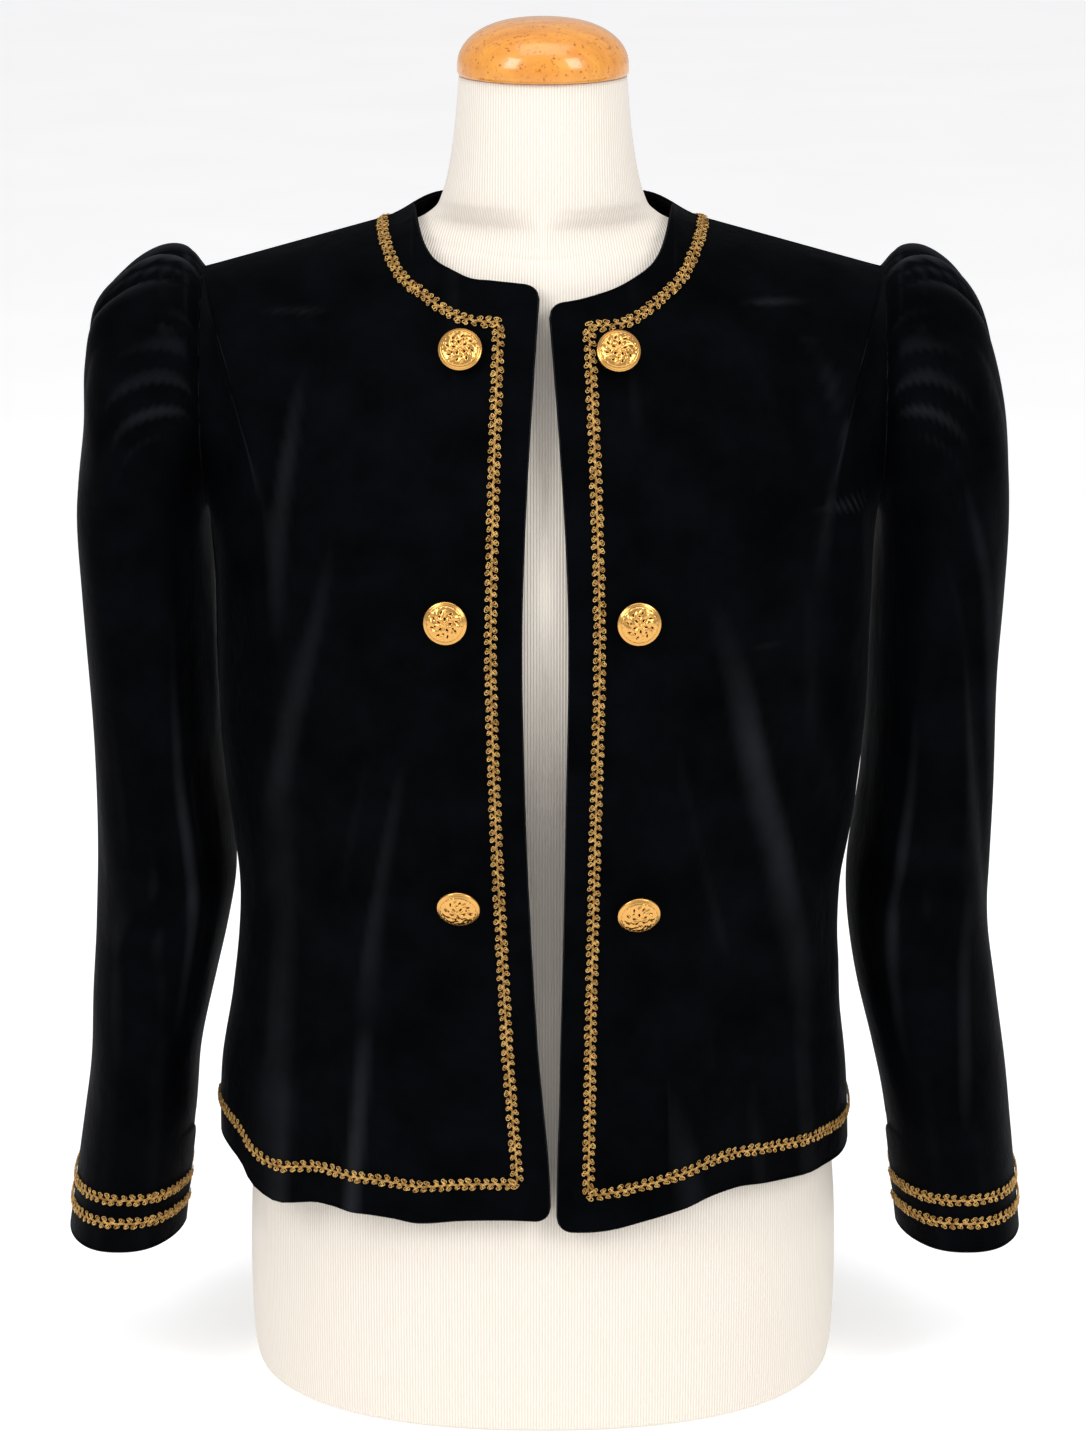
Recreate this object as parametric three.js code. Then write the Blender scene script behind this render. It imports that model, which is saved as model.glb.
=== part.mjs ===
// Collarless velvet jacket with gathered sleeve heads, on a limbless dress form.
// Millimetres, +Z up, the wearer faces -Y. The origin is the middle of the dress form's flat base.
// Sides are the wearer's: the right side lies towards -X.

import * as THREE from 'three';

// Driving sizes
const CLOTH = 2.0;
const SEAM = 0.3;
const TRIM_GAP = 0.35;
const NECK_TRIM_GAP = 0.75;
const ARMHOLE_Z = 599;
const ARMHOLE_RISE = 69;
const ARMHOLE_REACH = 58;
const CHEST_Z = 480;
const BODY_SQUARE = 2.4;
const HEM_SPREAD = 150;
const CORNER_ROUND = 9;
const BRAID_WIDTH = 7.6;
const BRAID_THICK = 1.4;
const SLEEVE_RING_HEAD = 56;
const SLEEVE_RING_ARM = 28;
const HEAD_ROWS = 6;
const GATHERS = 13;
const VENT_SPLIT = 1.6;
const VENT_SEAM_DEG = -165;
const VENT_LAP_DEG = 8;
const BUTTON_RADIUS = 12.3;
const BUTTON_HEIGHT = 6.4;
const SHANK_RADIUS = 3;
const NECK_TOP_Z = 776;
const CAP_RADIUS = 48.6;
const CAP_HEIGHT = 32.5;

// Jacket body, one row for each level: half widths on the wearer's right and left, depths to the
// front and back.
const BODY_RINGS = [
  { z: 120, right: 194, left: 184, front: 134, back: 119 },
  { z: 190, right: 192, left: 181, front: 130, back: 115 },
  { z: 240, right: 184, left: 176, front: 126, back: 109 },
  { z: 300, right: 178, left: 176, front: 124, back: 104 },
  { z: 360, right: 185, left: 184, front: 125, back: 102 },
  { z: 420, right: 190, left: 189, front: 128, back: 104 },
  { z: 480, right: 190.5, left: 190.5, front: 130.5, back: 108 },
  { z: 540, right: 190.5, left: 190.5, front: 124, back: 112 },
];

// Front edges: how far each lies to its own side of the middle, by level.
const FRONT_EDGES = [
  { z: 130, right: -4.4, left: 8.2 },
  { z: 170, right: -2.8, left: 8.9 },
  { z: 206, right: 0.5, left: 9.9 },
  { z: 238, right: 3.4, left: 10.5 },
  { z: 302, right: 7.2, left: 12.1 },
  { z: 366, right: 10, left: 13.2 },
  { z: 446, right: 12, left: 14.6 },
  { z: 503, right: 12, left: 14.6 },
];

// How far round the body, from the front edge or the middle of the back (0) to the side seam (1), a
// column of a panel lies at a share of the panel's upper edge.
const REACHES = [
  { share: 0, reach: 0 },
  { share: 0.2, reach: 0.139 },
  { share: 0.4, reach: 0.277 },
  { share: 0.6, reach: 0.44 },
  { share: 0.8, reach: 0.63 },
  { share: 0.9, reach: 0.8 },
  { share: 1, reach: 1 },
];

// Hem level by how far round the body it is, on each front and on the back.
const HEMS = [
  { reach: 0, right: 137.5, left: 131.5, back: 141 },
  { reach: 0.12, right: 138.5, left: 131.5, back: 140 },
  { reach: 0.24, right: 137.5, left: 136.5, back: 139 },
  { reach: 0.34, right: 134.5, left: 143.5, back: 138 },
  { reach: 0.4, right: 137, left: 148.5, back: 138 },
  { reach: 0.48, right: 139, left: 151, back: 139 },
  { reach: 0.56, right: 140.5, left: 150.5, back: 140 },
  { reach: 0.64, right: 138, left: 149.5, back: 139 },
  { reach: 0.71, right: 142.5, left: 149, back: 140 },
  { reach: 0.78, right: 150.5, left: 147, back: 142 },
  { reach: 0.87, right: 153.5, left: 146, back: 145 },
  { reach: 1, right: 149.5, left: 147, back: 148 },
];

// The shoulder line runs from the neck point to the shoulder tip, and the columns of the cloth end on
// it. It carries on over the neck, where the neckline cuts each column short: NECK_CUTS gives how far
// up its column, on each panel.
const NECK_POINT = { x: 74, y: 7, z: 700 };
const SHOULDER_TIP = { x: 193.05, y: 0, z: 668 };
const NECK_SPREAD = 185;
const NECK_CUTS = [
  { share: 0, right: 0.716, left: 0.672, back: 0.857 },
  { share: 0.08, right: 0.727, left: 0.683, back: 0.85 },
  { share: 0.15, right: 0.726, left: 0.69, back: 0.87 },
  { share: 0.22, right: 0.718, left: 0.695, back: 0.9 },
  { share: 0.28, right: 0.728, left: 0.709, back: 0.925 },
  { share: 0.33, right: 0.753, left: 0.74, back: 0.953 },
  { share: 0.36, right: 0.795, left: 0.785, back: 0.972 },
  { share: 0.38, right: 0.855, left: 0.85, back: 0.985 },
  { share: 0.392, right: 0.925, left: 0.92, back: 0.993 },
  { share: 0.4, right: 1, left: 1, back: 1 },
];

// How the line over the neck bows: backwards, up, and how much steeper the cloth runs at its middle.
const FRONT_BOW = { y: -19, z: -27, steeper: 0 };
const BACK_BOW = { y: 26, z: 2, steeper: 0.42 };
const NECK_RISE = { height: 12, from: 91, over: 45 };
const SHOULDER_LEAN = 0.98;
const ARMHOLE_OUT = 0.6;

// Shares of a panel's width at which the neckline ends and the armhole begins.
const NECK_SHARE = 0.4;
const SHOULDER_SHARE = 0.8;

// Long folds of the two fronts and the back: from (x0, z0) down to (x1, z1), bowed sideways, with
// their half width and how far they stand out (or in).
const FRONT_FOLDS = [
  { side: -1, x0: 138, z0: 650, x1: 184, z1: 400, bow: 10, width: 17, depth: -4.5 },
  { side: -1, x0: 137, z0: 530, x1: 157, z1: 125, bow: 2, width: 19, depth: 7 },
  { side: -1, x0: 80, z0: 470, x1: 108, z1: 150, bow: 4, width: 19, depth: 3 },
  { side: 1, x0: 126, z0: 655, x1: 168, z1: 545, bow: 4, width: 16, depth: -4 },
  { side: 1, x0: 96, z0: 500, x1: 160, z1: 225, bow: 0, width: 17, depth: 7 },
  { side: 1, x0: 124, z0: 470, x1: 176, z1: 260, bow: 0, width: 15, depth: -4 },
  { side: 1, x0: 70, z0: 230, x1: 92, z1: 110, bow: 0, width: 17, depth: 3.5 },
];
const BACK_FOLDS = [
  { side: -1, x0: 96, z0: 640, x1: 112, z1: 120, bow: -8, width: 20, depth: -4 },
  { side: 1, x0: 104, z0: 650, x1: 96, z1: 120, bow: -6, width: 21, depth: -3.6 },
  { side: -1, x0: 40, z0: 430, x1: 58, z1: 120, bow: 5, width: 18, depth: 4 },
  { side: 1, x0: 36, z0: 410, x1: 52, z1: 120, bow: -4, width: 19, depth: 3.4 },
];

// Sleeve rings from the armhole to the cuff. Each ring lies across the arm between an inner and an
// outer point; depth is half its front-to-back size, y its middle, turn how far it is twisted. The
// wearer's right sleeve hangs a little differently: rightIn and rightOut move its two points outward.
const SLEEVE_RINGS = [
  { inX: 193.5, inZ: 530, outX: 193.5, outZ: 668,
    depth: 58, y: 0, turn: 0, square: 2, rightIn: 0, rightOut: 0, wave: 0.8 },
  { inX: 194.5, inZ: 527, outX: 203, outZ: 677,
    depth: 63, y: -1, turn: 0, square: 2, rightIn: 0, rightOut: 0, wave: 2.6 },
  { inX: 194.8, inZ: 522, outX: 217, outZ: 677,
    depth: 67, y: -2, turn: 1, square: 2.1, rightIn: 0, rightOut: 0.5, wave: 3 },
  { inX: 195, inZ: 515, outX: 233, outZ: 667,
    depth: 69, y: -3, turn: 3, square: 2.2, rightIn: 0, rightOut: 2.5, wave: 2.6 },
  { inX: 195, inZ: 505, outX: 246.5, outZ: 648,
    depth: 70, y: -4, turn: 5, square: 2.3, rightIn: 0, rightOut: 6, wave: 1.9 },
  { inX: 194.8, inZ: 490, outX: 254.5, outZ: 621,
    depth: 70, y: -5, turn: 7, square: 2.4, rightIn: 0, rightOut: 3, wave: 1.1 },
  { inX: 194.5, inZ: 468, outX: 261, outZ: 586,
    depth: 69, y: -6, turn: 8, square: 2.5, rightIn: 0, rightOut: -2, wave: 0.4 },
  { inX: 194.2, inZ: 438, outX: 264, outZ: 540,
    depth: 67, y: -6, turn: 9, square: 2.5, rightIn: 0, rightOut: 0, wave: 0 },
  { inX: 193.5, inZ: 404, outX: 262.5, outZ: 486,
    depth: 66, y: -5, turn: 9, square: 2.5, rightIn: 0, rightOut: 0, wave: 0 },
  { inX: 191.5, inZ: 369, outX: 259.5, outZ: 428,
    depth: 65, y: -3, turn: 10, square: 2.5, rightIn: 0, rightOut: 0, wave: 0 },
  { inX: 187, inZ: 334, outX: 259, outZ: 371,
    depth: 64, y: 0, turn: 10, square: 2.5, rightIn: 0, rightOut: 0, wave: 0 },
  { inX: 183.2, inZ: 303, outX: 260, outZ: 323,
    depth: 63, y: 2, turn: 9, square: 2.4, rightIn: 2, rightOut: 0, wave: 0 },
  { inX: 183.5, inZ: 273, outX: 261.5, outZ: 283,
    depth: 62.5, y: 2, turn: 7, square: 2.4, rightIn: 6, rightOut: 1, wave: 0 },
  { inX: 188.5, inZ: 238, outX: 267.8, outZ: 243,
    depth: 62, y: 0, turn: 5, square: 2.4, rightIn: 8.5, rightOut: -2, wave: 0 },
  { inX: 198, inZ: 198, outX: 274.5, outZ: 200,
    depth: 62, y: -3, turn: 2, square: 2.3, rightIn: 7.5, rightOut: -6, wave: 0 },
  { inX: 205.5, inZ: 160, outX: 279.5, outZ: 161,
    depth: 62, y: -4, turn: 0, square: 2.3, rightIn: 3, rightOut: -5, wave: 0 },
];
const CUFF_RINGS = [
  { z: 156, laps: 1 },
  { z: 150, laps: 2 },
  { z: 126.5, laps: 2 },
  { z: 118.9, laps: 2 },
  { z: 113.1, laps: 2 },
  { z: 105.5, laps: 2 },
  { z: 92, laps: 2 },
];
const CUFF_EDGE = { inX: 214, outX: 287, rightIn: 2.5, rightOut: -2, depth: 62, y: -5, square: 2.3 };
const CUFF_TOP = { z: 160, inX: 205.5, outX: 279.5, rightIn: 3, rightOut: -5 };
const CUFF_BRAIDS = { upper: [2, 3], lower: [4, 5] };

// The middle line of the neck braid on each panel, from the shoulder seam: share of the panel's upper
// edge, and how far up its column.
const NECK_BRAID = {
  right: [
    { step: 0, share: 0.484, level: 1 },
    { step: 1, share: 0.476, level: 0.885 },
    { step: 2, share: 0.436, level: 0.752 },
    { step: 3, share: 0.348, level: 0.66 },
    { step: 4, share: 0.268, level: 0.622 },
    { step: 5, share: 0.19, level: 0.622 },
  ],
  left: [
    { step: 0, share: 0.484, level: 1 },
    { step: 1, share: 0.468, level: 0.875 },
    { step: 2, share: 0.424, level: 0.742 },
    { step: 3, share: 0.344, level: 0.652 },
    { step: 4, share: 0.264, level: 0.613 },
    { step: 5, share: 0.19, level: 0.613 },
  ],
  back: [
    { step: 0, share: 0.484, level: 1 },
    { step: 1, share: 0.462, level: 0.932 },
    { step: 2, share: 0.4, level: 0.88 },
    { step: 3, share: 0.28, level: 0.808 },
    { step: 4, share: 0.14, level: 0.77 },
    { step: 5, share: 0, level: 0.768 },
  ],
};
const NECK_CORNER = { right: 0.63, left: 0.622 };
const NECK_PLACES = 12;
const COLUMN_LENGTH = 260;
const BRAID_COLUMNS = { outer: 0.103, inner: 0.143 };
const BRAID_ROWS = { outer: 0.053, inner: 0.075 };

// Buttons: place across and up the front, and how far each hangs nose-down in degrees.
const BUTTONS = [
  { side: -1, number: 1, x: 46, z: 633, droop: 0 },
  { side: -1, number: 2, x: 53, z: 490, droop: 3 },
  { side: -1, number: 3, x: 47, z: 329, droop: 24 },
  { side: 1, number: 1, x: 41, z: 633, droop: 0 },
  { side: 1, number: 2, x: 52, z: 489, droop: 3 },
  { side: 1, number: 3, x: 52.5, z: 323, droop: 22 },
];

// Dress form, one row for each level. square is the exponent of its oval: 2 is an ellipse.
const FORM_RINGS = [
  { z: 0, half: 164, front: 115, back: 102, square: 2.2 },
  { z: 2.5, half: 170, front: 120, back: 107, square: 2.2 },
  { z: 8, half: 173.5, front: 122.8, back: 109.6, square: 2.2 },
  { z: 25, half: 176, front: 124.5, back: 111, square: 2.2 },
  { z: 70, half: 177, front: 125, back: 112, square: 2.2 },
  { z: 115, half: 175.5, front: 123, back: 110, square: 2.2 },
  { z: 165, half: 170, front: 118, back: 106, square: 2.2 },
  { z: 230, half: 153, front: 105, back: 95, square: 2.2 },
  { z: 300, half: 131, front: 93, back: 83, square: 2.2 },
  { z: 350, half: 129, front: 92, back: 82, square: 2.2 },
  { z: 420, half: 142, front: 108, back: 89, square: 2.2 },
  { z: 490, half: 155, front: 118, back: 96, square: 2.2 },
  { z: 535, half: 160, front: 111, back: 98, square: 2.2 },
  { z: 580, half: 163, front: 96, back: 94, square: 2.1 },
  { z: 620, half: 163, front: 80, back: 80, square: 1.8 },
  { z: 645, half: 160, front: 69, back: 69, square: 1.5 },
  { z: 665.6, half: 154, front: 60, back: 60, square: 1.25 },
  { z: 678.6, half: 140, front: 53.5, back: 53, square: 1.05 },
  { z: 686.7, half: 108, front: 49.5, back: 48, square: 1 },
  { z: 694.6, half: 75, front: 46.5, back: 46.5, square: 1.1 },
  { z: 701.5, half: 62.5, front: 45.2, back: 46, square: 1.5 },
  { z: 708, half: 58.5, front: 44.8, back: 46, square: 1.9 },
  { z: 722, half: 54.5, front: 45, back: 45.5, square: 2 },
  { z: 744, half: 51, front: 45, back: 45, square: 2 },
  { z: NECK_TOP_Z, half: 48, front: 45, back: 45, square: 2 },
];

// Colours and finish
const VELVET = { color: 0x07090d, roughness: 0.95, metalness: 0 };
const BRAID = { color: 0xb48a3c, roughness: 0.45, metalness: 0.8 };
const BRASS = { color: 0xc8943e, roughness: 0.3, metalness: 1 };
const JERSEY = { color: 0xeee6da, roughness: 0.9, metalness: 0 };
const WOOD = { color: 0xe8993c, roughness: 0.25, metalness: 0 };

const radians = THREE.MathUtils.degToRad;
const vector = (x, y, z) => new THREE.Vector3(x, y, z);

// A smooth curve through a table's column: cubic pieces whose slopes come from the neighbours.
function read(table, key, column, at) {
  const last = table.length - 1;
  const x = Math.min(Math.max(at, table[0][key]), table[last][key]);
  let k = 0;
  while (k < last - 1 && x > table[k + 1][key]) k += 1;
  const slope = (i) => {
    const a = table[Math.max(i - 1, 0)];
    const b = table[Math.min(i + 1, last)];
    return (b[column] - a[column]) / (b[key] - a[key]);
  };
  const span = table[k + 1][key] - table[k][key];
  const t = (x - table[k][key]) / span;
  const t2 = t * t;
  const t3 = t2 * t;
  return (2 * t3 - 3 * t2 + 1) * table[k][column] + (t3 - 2 * t2 + t) * span * slope(k)
    + (3 * t2 - 2 * t3) * table[k + 1][column] + (t3 - t2) * span * slope(k + 1);
}

// Radius of an oval with the given half sizes, at an angle from its front.
function ovalRadius(turn, half, depth, square) {
  const across = Math.abs(Math.sin(turn) / half) ** square;
  const along = Math.abs(Math.cos(turn) / depth) ** square;
  return (across + along) ** (-1 / square);
}

// A point of the jacket's body ring. turn is 0 at the front, a right angle at the side.
function bodyPoint(side, turn, z) {
  const half = read(BODY_RINGS, 'z', side < 0 ? 'right' : 'left', z);
  const depth = read(BODY_RINGS, 'z', Math.cos(turn) > 0 ? 'front' : 'back', z);
  const radius = ovalRadius(turn, half, depth, BODY_SQUARE);
  return vector(side * radius * Math.sin(turn), -radius * Math.cos(turn), z);
}

// The angle of a panel's column. It runs from the front edge, or the middle of the back, to the
// side seam, and stops half a seam short of it.
function columnTurn(panel, share, z) {
  const seam = SEAM / 2 / 190;
  const reach = read(REACHES, 'share', 'reach', share);
  if (panel.front) {
    const edge = read(FRONT_EDGES, 'z', panel.side < 0 ? 'right' : 'left', z);
    const start = Math.atan2(edge, read(BODY_RINGS, 'z', 'front', z));
    return start + (Math.PI / 2 - seam - start) * reach;
  }
  return Math.PI - (Math.PI / 2 - seam) * reach;
}

// How much of its column a share of a panel keeps below the neckline.
function neckCut(panel, share) {
  if (share >= NECK_SHARE) return 1;
  const cut = read(NECK_CUTS, 'share', panel.hem, share);
  return panel.front ? cut - rounding(NECK_SPREAD * share) / COLUMN_LENGTH : cut;
}

// How far an edge gives way at a corner that is rounded with a quarter circle.
function rounding(distance) {
  const left = THREE.MathUtils.clamp(1 - distance / CORNER_ROUND, 0, 1);
  return CORNER_ROUND * (1 - Math.sqrt(1 - left * left));
}

// Where a column ends and how the cloth runs there: along the shoulder line, which carries on over
// the neck, then round the armhole's oval.
function upperEdge(panel, share) {
  const forward = panel.front ? -1 : 1;
  let point;
  let lean;
  let out = 0;
  if (share <= SHOULDER_SHARE) {
    const spread = NECK_SPREAD * SHOULDER_SHARE;
    const widen = (SHOULDER_TIP.x - spread) / (SHOULDER_SHARE - NECK_SHARE) ** 2;
    const x = NECK_SPREAD * share + widen * Math.max(share - NECK_SHARE, 0) ** 2;
    const t = (x - NECK_POINT.x) / (SHOULDER_TIP.x - NECK_POINT.x);
    const near = THREE.MathUtils.clamp((NECK_RISE.from - x) / NECK_RISE.over, 0, 1);
    const middle = Math.max(1 - (share / NECK_SHARE) ** 2, 0) ** 2;
    const bow = panel.front ? FRONT_BOW : BACK_BOW;
    const gap = forward * SEAM / 2 * Math.min(share / NECK_SHARE, 1);
    point = vector(x, NECK_POINT.y * (1 - t) + bow.y * middle + gap,
      NECK_POINT.z + (SHOULDER_TIP.z - NECK_POINT.z) * t + bow.z * middle
      + NECK_RISE.height * near * near * (3 - 2 * near));
    lean = SHOULDER_LEAN - bow.steeper * middle;
  } else {
    const turn = Math.PI * (share - SHOULDER_SHARE) / (1 - SHOULDER_SHARE);
    point = vector(SHOULDER_TIP.x, forward * (ARMHOLE_REACH * Math.sin(turn) + SEAM / 2),
      ARMHOLE_Z + ARMHOLE_RISE * Math.cos(turn));
    lean = SHOULDER_LEAN * Math.cos(turn / 2) ** 4;
    out = ARMHOLE_OUT * Math.sin(turn);
  }
  point.x *= panel.side;
  const run = vector(panel.side * out, -forward * lean, Math.sqrt(1 - lean * lean)).normalize();
  return { point, run };
}

// How far a panel stands out or in at a point, for its long folds. A fold that reaches the hem keeps
// its height there.
function foldDepth(panel, point) {
  let sum = 0;
  for (const fold of panel.front ? FRONT_FOLDS : BACK_FOLDS) {
    if (fold.side !== Math.sign(point.x)) continue;
    const atHem = fold.z1 < 160;
    const t = (fold.z0 - point.z) / (fold.z0 - fold.z1);
    if (t <= 0 || (t >= 1 && !atHem)) continue;
    const along = Math.min(t, 1);
    const middle = fold.x0 + (fold.x1 - fold.x0) * along + fold.bow * 4 * along * (1 - along);
    const off = (Math.abs(point.x) - middle) / fold.width;
    sum += fold.depth * Math.exp(-off * off) * Math.sin(Math.PI * along * (atHem ? 0.5 : 1)) ** 0.7;
  }
  return sum;
}

// A point of a panel: rows 0 to 1 climb the body rings from the hem to the chest, and rows 1 to 2
// curve from there over the chest or back, up to the neckline, shoulder seam or armhole.
function panelPoint(panel, share, row) {
  const edge = panel.front ? rounding(HEM_SPREAD * share) : 0;
  const hem = read(HEMS, 'reach', panel.hem, read(REACHES, 'share', 'reach', share)) + edge;
  if (row <= 1) {
    const z = hem + (CHEST_Z - hem) * row;
    return bodyPoint(panel.side, columnTurn(panel, share, z), z);
  }
  const start = bodyPoint(panel.side, columnTurn(panel, share, CHEST_Z), CHEST_Z);
  const below = bodyPoint(panel.side, columnTurn(panel, share, CHEST_Z - 1), CHEST_Z - 1);
  const { point, run } = upperEdge(panel, share);
  const reach = start.distanceTo(point);
  const t = (row - 1) * neckCut(panel, share);
  const t2 = t * t;
  const t3 = t2 * t;
  return vector(0, 0, 0)
    .addScaledVector(start, 2 * t3 - 3 * t2 + 1)
    .addScaledVector(start.clone().sub(below), (t3 - 2 * t2 + t) * reach)
    .addScaledVector(point, 3 * t2 - 2 * t3)
    .addScaledVector(run, (t3 - t2) * reach);
}

// Outward normals of a grid of points, from the lines through each point's neighbours.
function gridNormals(grid, outward, ring = false) {
  const rows = grid.length;
  return grid.map((line, j) => line.map((point, i) => {
    const n = line.length;
    const left = ring ? line[(i - 1 + n) % n] : line[Math.max(i - 1, 0)];
    const right = ring ? line[(i + 1) % n] : line[Math.min(i + 1, n - 1)];
    const above = grid[Math.min(j + 1, rows - 1)];
    const below = grid[Math.max(j - 1, 0)];
    const scale = (other) => other[Math.min(Math.round(i * other.length / n), other.length - 1)];
    const up = scale(above).clone().sub(scale(below));
    return right.clone().sub(left).cross(up).multiplyScalar(outward).normalize();
  }));
}

const flip = (triangles) => triangles.map(([a, b, c]) => [a, c, b]);

// A closed solid from its points and faces. Faces that enclose a negative volume are turned round,
// so that every solid's faces point out.
function closed(points, triangles) {
  const volume = triangles.reduce((sum, [a, b, c]) => (
    sum + points[a].dot(points[b].clone().cross(points[c]))), 0);
  const geometry = new THREE.BufferGeometry();
  geometry.setAttribute('position',
    new THREE.Float32BufferAttribute(points.flatMap((p) => [p.x, p.y, p.z]), 3));
  geometry.setIndex((volume < 0 ? flip(triangles) : triangles).flat());
  geometry.computeVertexNormals();
  return geometry;
}

function quad(a, b, c, d) {
  return [[a, b, c], [a, c, d]];
}

// A wall of even thickness between an outer grid and an inner grid, closed along all four edges.
function wall(outer, inner) {
  const rows = outer.length;
  const columns = outer[0].length;
  const at = (j, i) => j * columns + i;
  const size = rows * columns;
  const faces = [];
  for (let j = 0; j < rows - 1; j += 1) {
    for (let i = 0; i < columns - 1; i += 1) {
      const cell = quad(at(j, i), at(j, i + 1), at(j + 1, i + 1), at(j + 1, i));
      faces.push(...cell, ...flip(cell).map((f) => f.map((k) => k + size)));
    }
  }
  for (let i = 0; i < columns - 1; i += 1) {
    const top = rows - 1;
    faces.push(...quad(at(0, i), at(0, i) + size, at(0, i + 1) + size, at(0, i + 1)));
    faces.push(...quad(at(top, i), at(top, i + 1), at(top, i + 1) + size, at(top, i) + size));
  }
  for (let j = 0; j < rows - 1; j += 1) {
    const end = columns - 1;
    faces.push(...quad(at(j, 0), at(j + 1, 0), at(j + 1, 0) + size, at(j, 0) + size));
    faces.push(...quad(at(j, end), at(j, end) + size, at(j + 1, end) + size, at(j + 1, end)));
  }
  return closed([...outer.flat(), ...inner.flat()], faces);
}

// The columns of the panels, as shares of their upper edge, and their rows. Two columns and two rows
// are the edges of the braid.
const EDGE_COLUMNS = [0, 0.04, BRAID_COLUMNS.outer, BRAID_COLUMNS.inner, 0.21, 0.28, 0.33, 0.365];
const SIDE_COLUMNS = [0.387, 0.4, 0.44, 0.52, 0.61, 0.7, 0.8, 0.84, 0.88, 0.92, 0.96, 1];
const FRONT_COLUMNS = [...EDGE_COLUMNS, ...SIDE_COLUMNS];
const BACK_NECK_COLUMNS = [0, 0.1, 0.2, 0.28, 0.34, 0.38, 0.4, 0.44];
const BACK_HALF = [...BACK_NECK_COLUMNS, 0.5, 0.56, 0.62, 0.7, 0.8, 0.86, 0.93, 1];
const LOWER_ROWS = [0, BRAID_ROWS.outer, BRAID_ROWS.inner, 0.16, 0.26, 0.36, 0.46, 0.57, 0.68, 0.79, 0.9, 1];
const UPPER_ROWS = [1.14, 1.28, 1.42, 1.56, 1.69, 1.8, 1.88, 1.94, 2];
const PANEL_ROWS = [...LOWER_ROWS, ...UPPER_ROWS];

// Lays out a panel: its outer points with their folds, and their normals. At the shoulder and side
// seams the wall's edge is square to the seam, so its normal has no front-to-back share.
function layPanel(panel, columns) {
  const outward = panel.side * (panel.front ? 1 : -1);
  const smooth = PANEL_ROWS.map((row) => columns.map((share) => (
    panelPoint({ ...panel, side: share < 0 ? -1 : panel.side }, Math.abs(share), row))));
  const first = gridNormals(smooth, outward);
  const grid = smooth.map((line, j) => line.map((point, i) => (
    point.clone().addScaledVector(first[j][i], foldDepth(panel, point)))));
  const normals = gridNormals(grid, outward);
  const top = PANEL_ROWS.length - 1;
  columns.forEach((share, i) => {
    const size = Math.abs(share);
    for (let j = 0; j <= top; j += 1) {
      const seam = size === 1 || (j === top && size >= NECK_SHARE && size <= SHOULDER_SHARE);
      if (seam) normals[j][i].setY(0).normalize();
    }
  });
  return { ...panel, columns, grid, normals };
}

function panelSolid(laid) {
  const inner = laid.grid.map((line, j) => line.map((point, i) => (
    point.clone().addScaledVector(laid.normals[j][i], -CLOTH))));
  return wall(laid.grid, inner);
}

// A point and normal of a laid panel at any column share and row, between its grid's points.
function onPanel(laid, share, row) {
  const find = (list, value) => {
    let k = 0;
    while (k < list.length - 2 && value > list[k + 1]) k += 1;
    return [k, THREE.MathUtils.clamp((value - list[k]) / (list[k + 1] - list[k]), 0, 1)];
  };
  const [i, u] = find(laid.columns, share);
  const [j, v] = find(PANEL_ROWS, row);
  const mix = (grid) => vector(0, 0, 0)
    .addScaledVector(grid[j][i], (1 - u) * (1 - v))
    .addScaledVector(grid[j][i + 1], u * (1 - v))
    .addScaledVector(grid[j + 1][i], (1 - u) * v)
    .addScaledVector(grid[j + 1][i + 1], u * v);
  return { point: mix(laid.grid), normal: mix(laid.normals).normalize() };
}

// A flat braid between two rows of places on a panel, moved out from the cloth.
function braidOn(laid, edges) {
  const lift = (distance) => ['outer', 'inner'].map((edge) => edges.map((pair) => {
    const { point, normal } = onPanel(laid, ...pair[edge]);
    return point.clone().addScaledVector(normal, (pair.gap ?? TRIM_GAP) + distance);
  }));
  return wall(lift(BRAID_THICK), lift(0));
}

// The neck braid's places on a panel, from the shoulder seam to the front corner or the middle: both
// edges lie half a width from the middle line, square to it.
function neckEdges(laid, side = 1) {
  const table = NECK_BRAID[laid.hem];
  const last = table.length - 1;
  const line = Array.from({ length: NECK_PLACES + 1 }, (_, k) => ['share', 'level'].map((column) => (
    read(table, 'step', column, last * k / NECK_PLACES))));
  const half = BRAID_WIDTH / 2;
  return line.map(([share, level], k) => {
    const [share0, level0] = line[Math.max(k - 1, 0)];
    const [share1, level1] = line[Math.min(k + 1, NECK_PLACES)];
    const across = k === 0 || share === 0 ? 0 : (share1 - share0) * NECK_SPREAD;
    const up = share === 0 ? 1 : (level1 - level0) * COLUMN_LENGTH;
    const length = Math.hypot(across, up);
    const place = (sign) => {
      const aside = share === 0 ? 0 : share + sign * half * up / length / NECK_SPREAD;
      const rise = share === 0 ? half / COLUMN_LENGTH : -half * across / length / COLUMN_LENGTH;
      const row = k === 0 ? 2 : 1 + (level + sign * rise) / neckCut(laid, aside);
      return [side * aside, row];
    };
    return { outer: place(1), inner: place(-1), gap: NECK_TRIM_GAP };
  });
}

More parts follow.
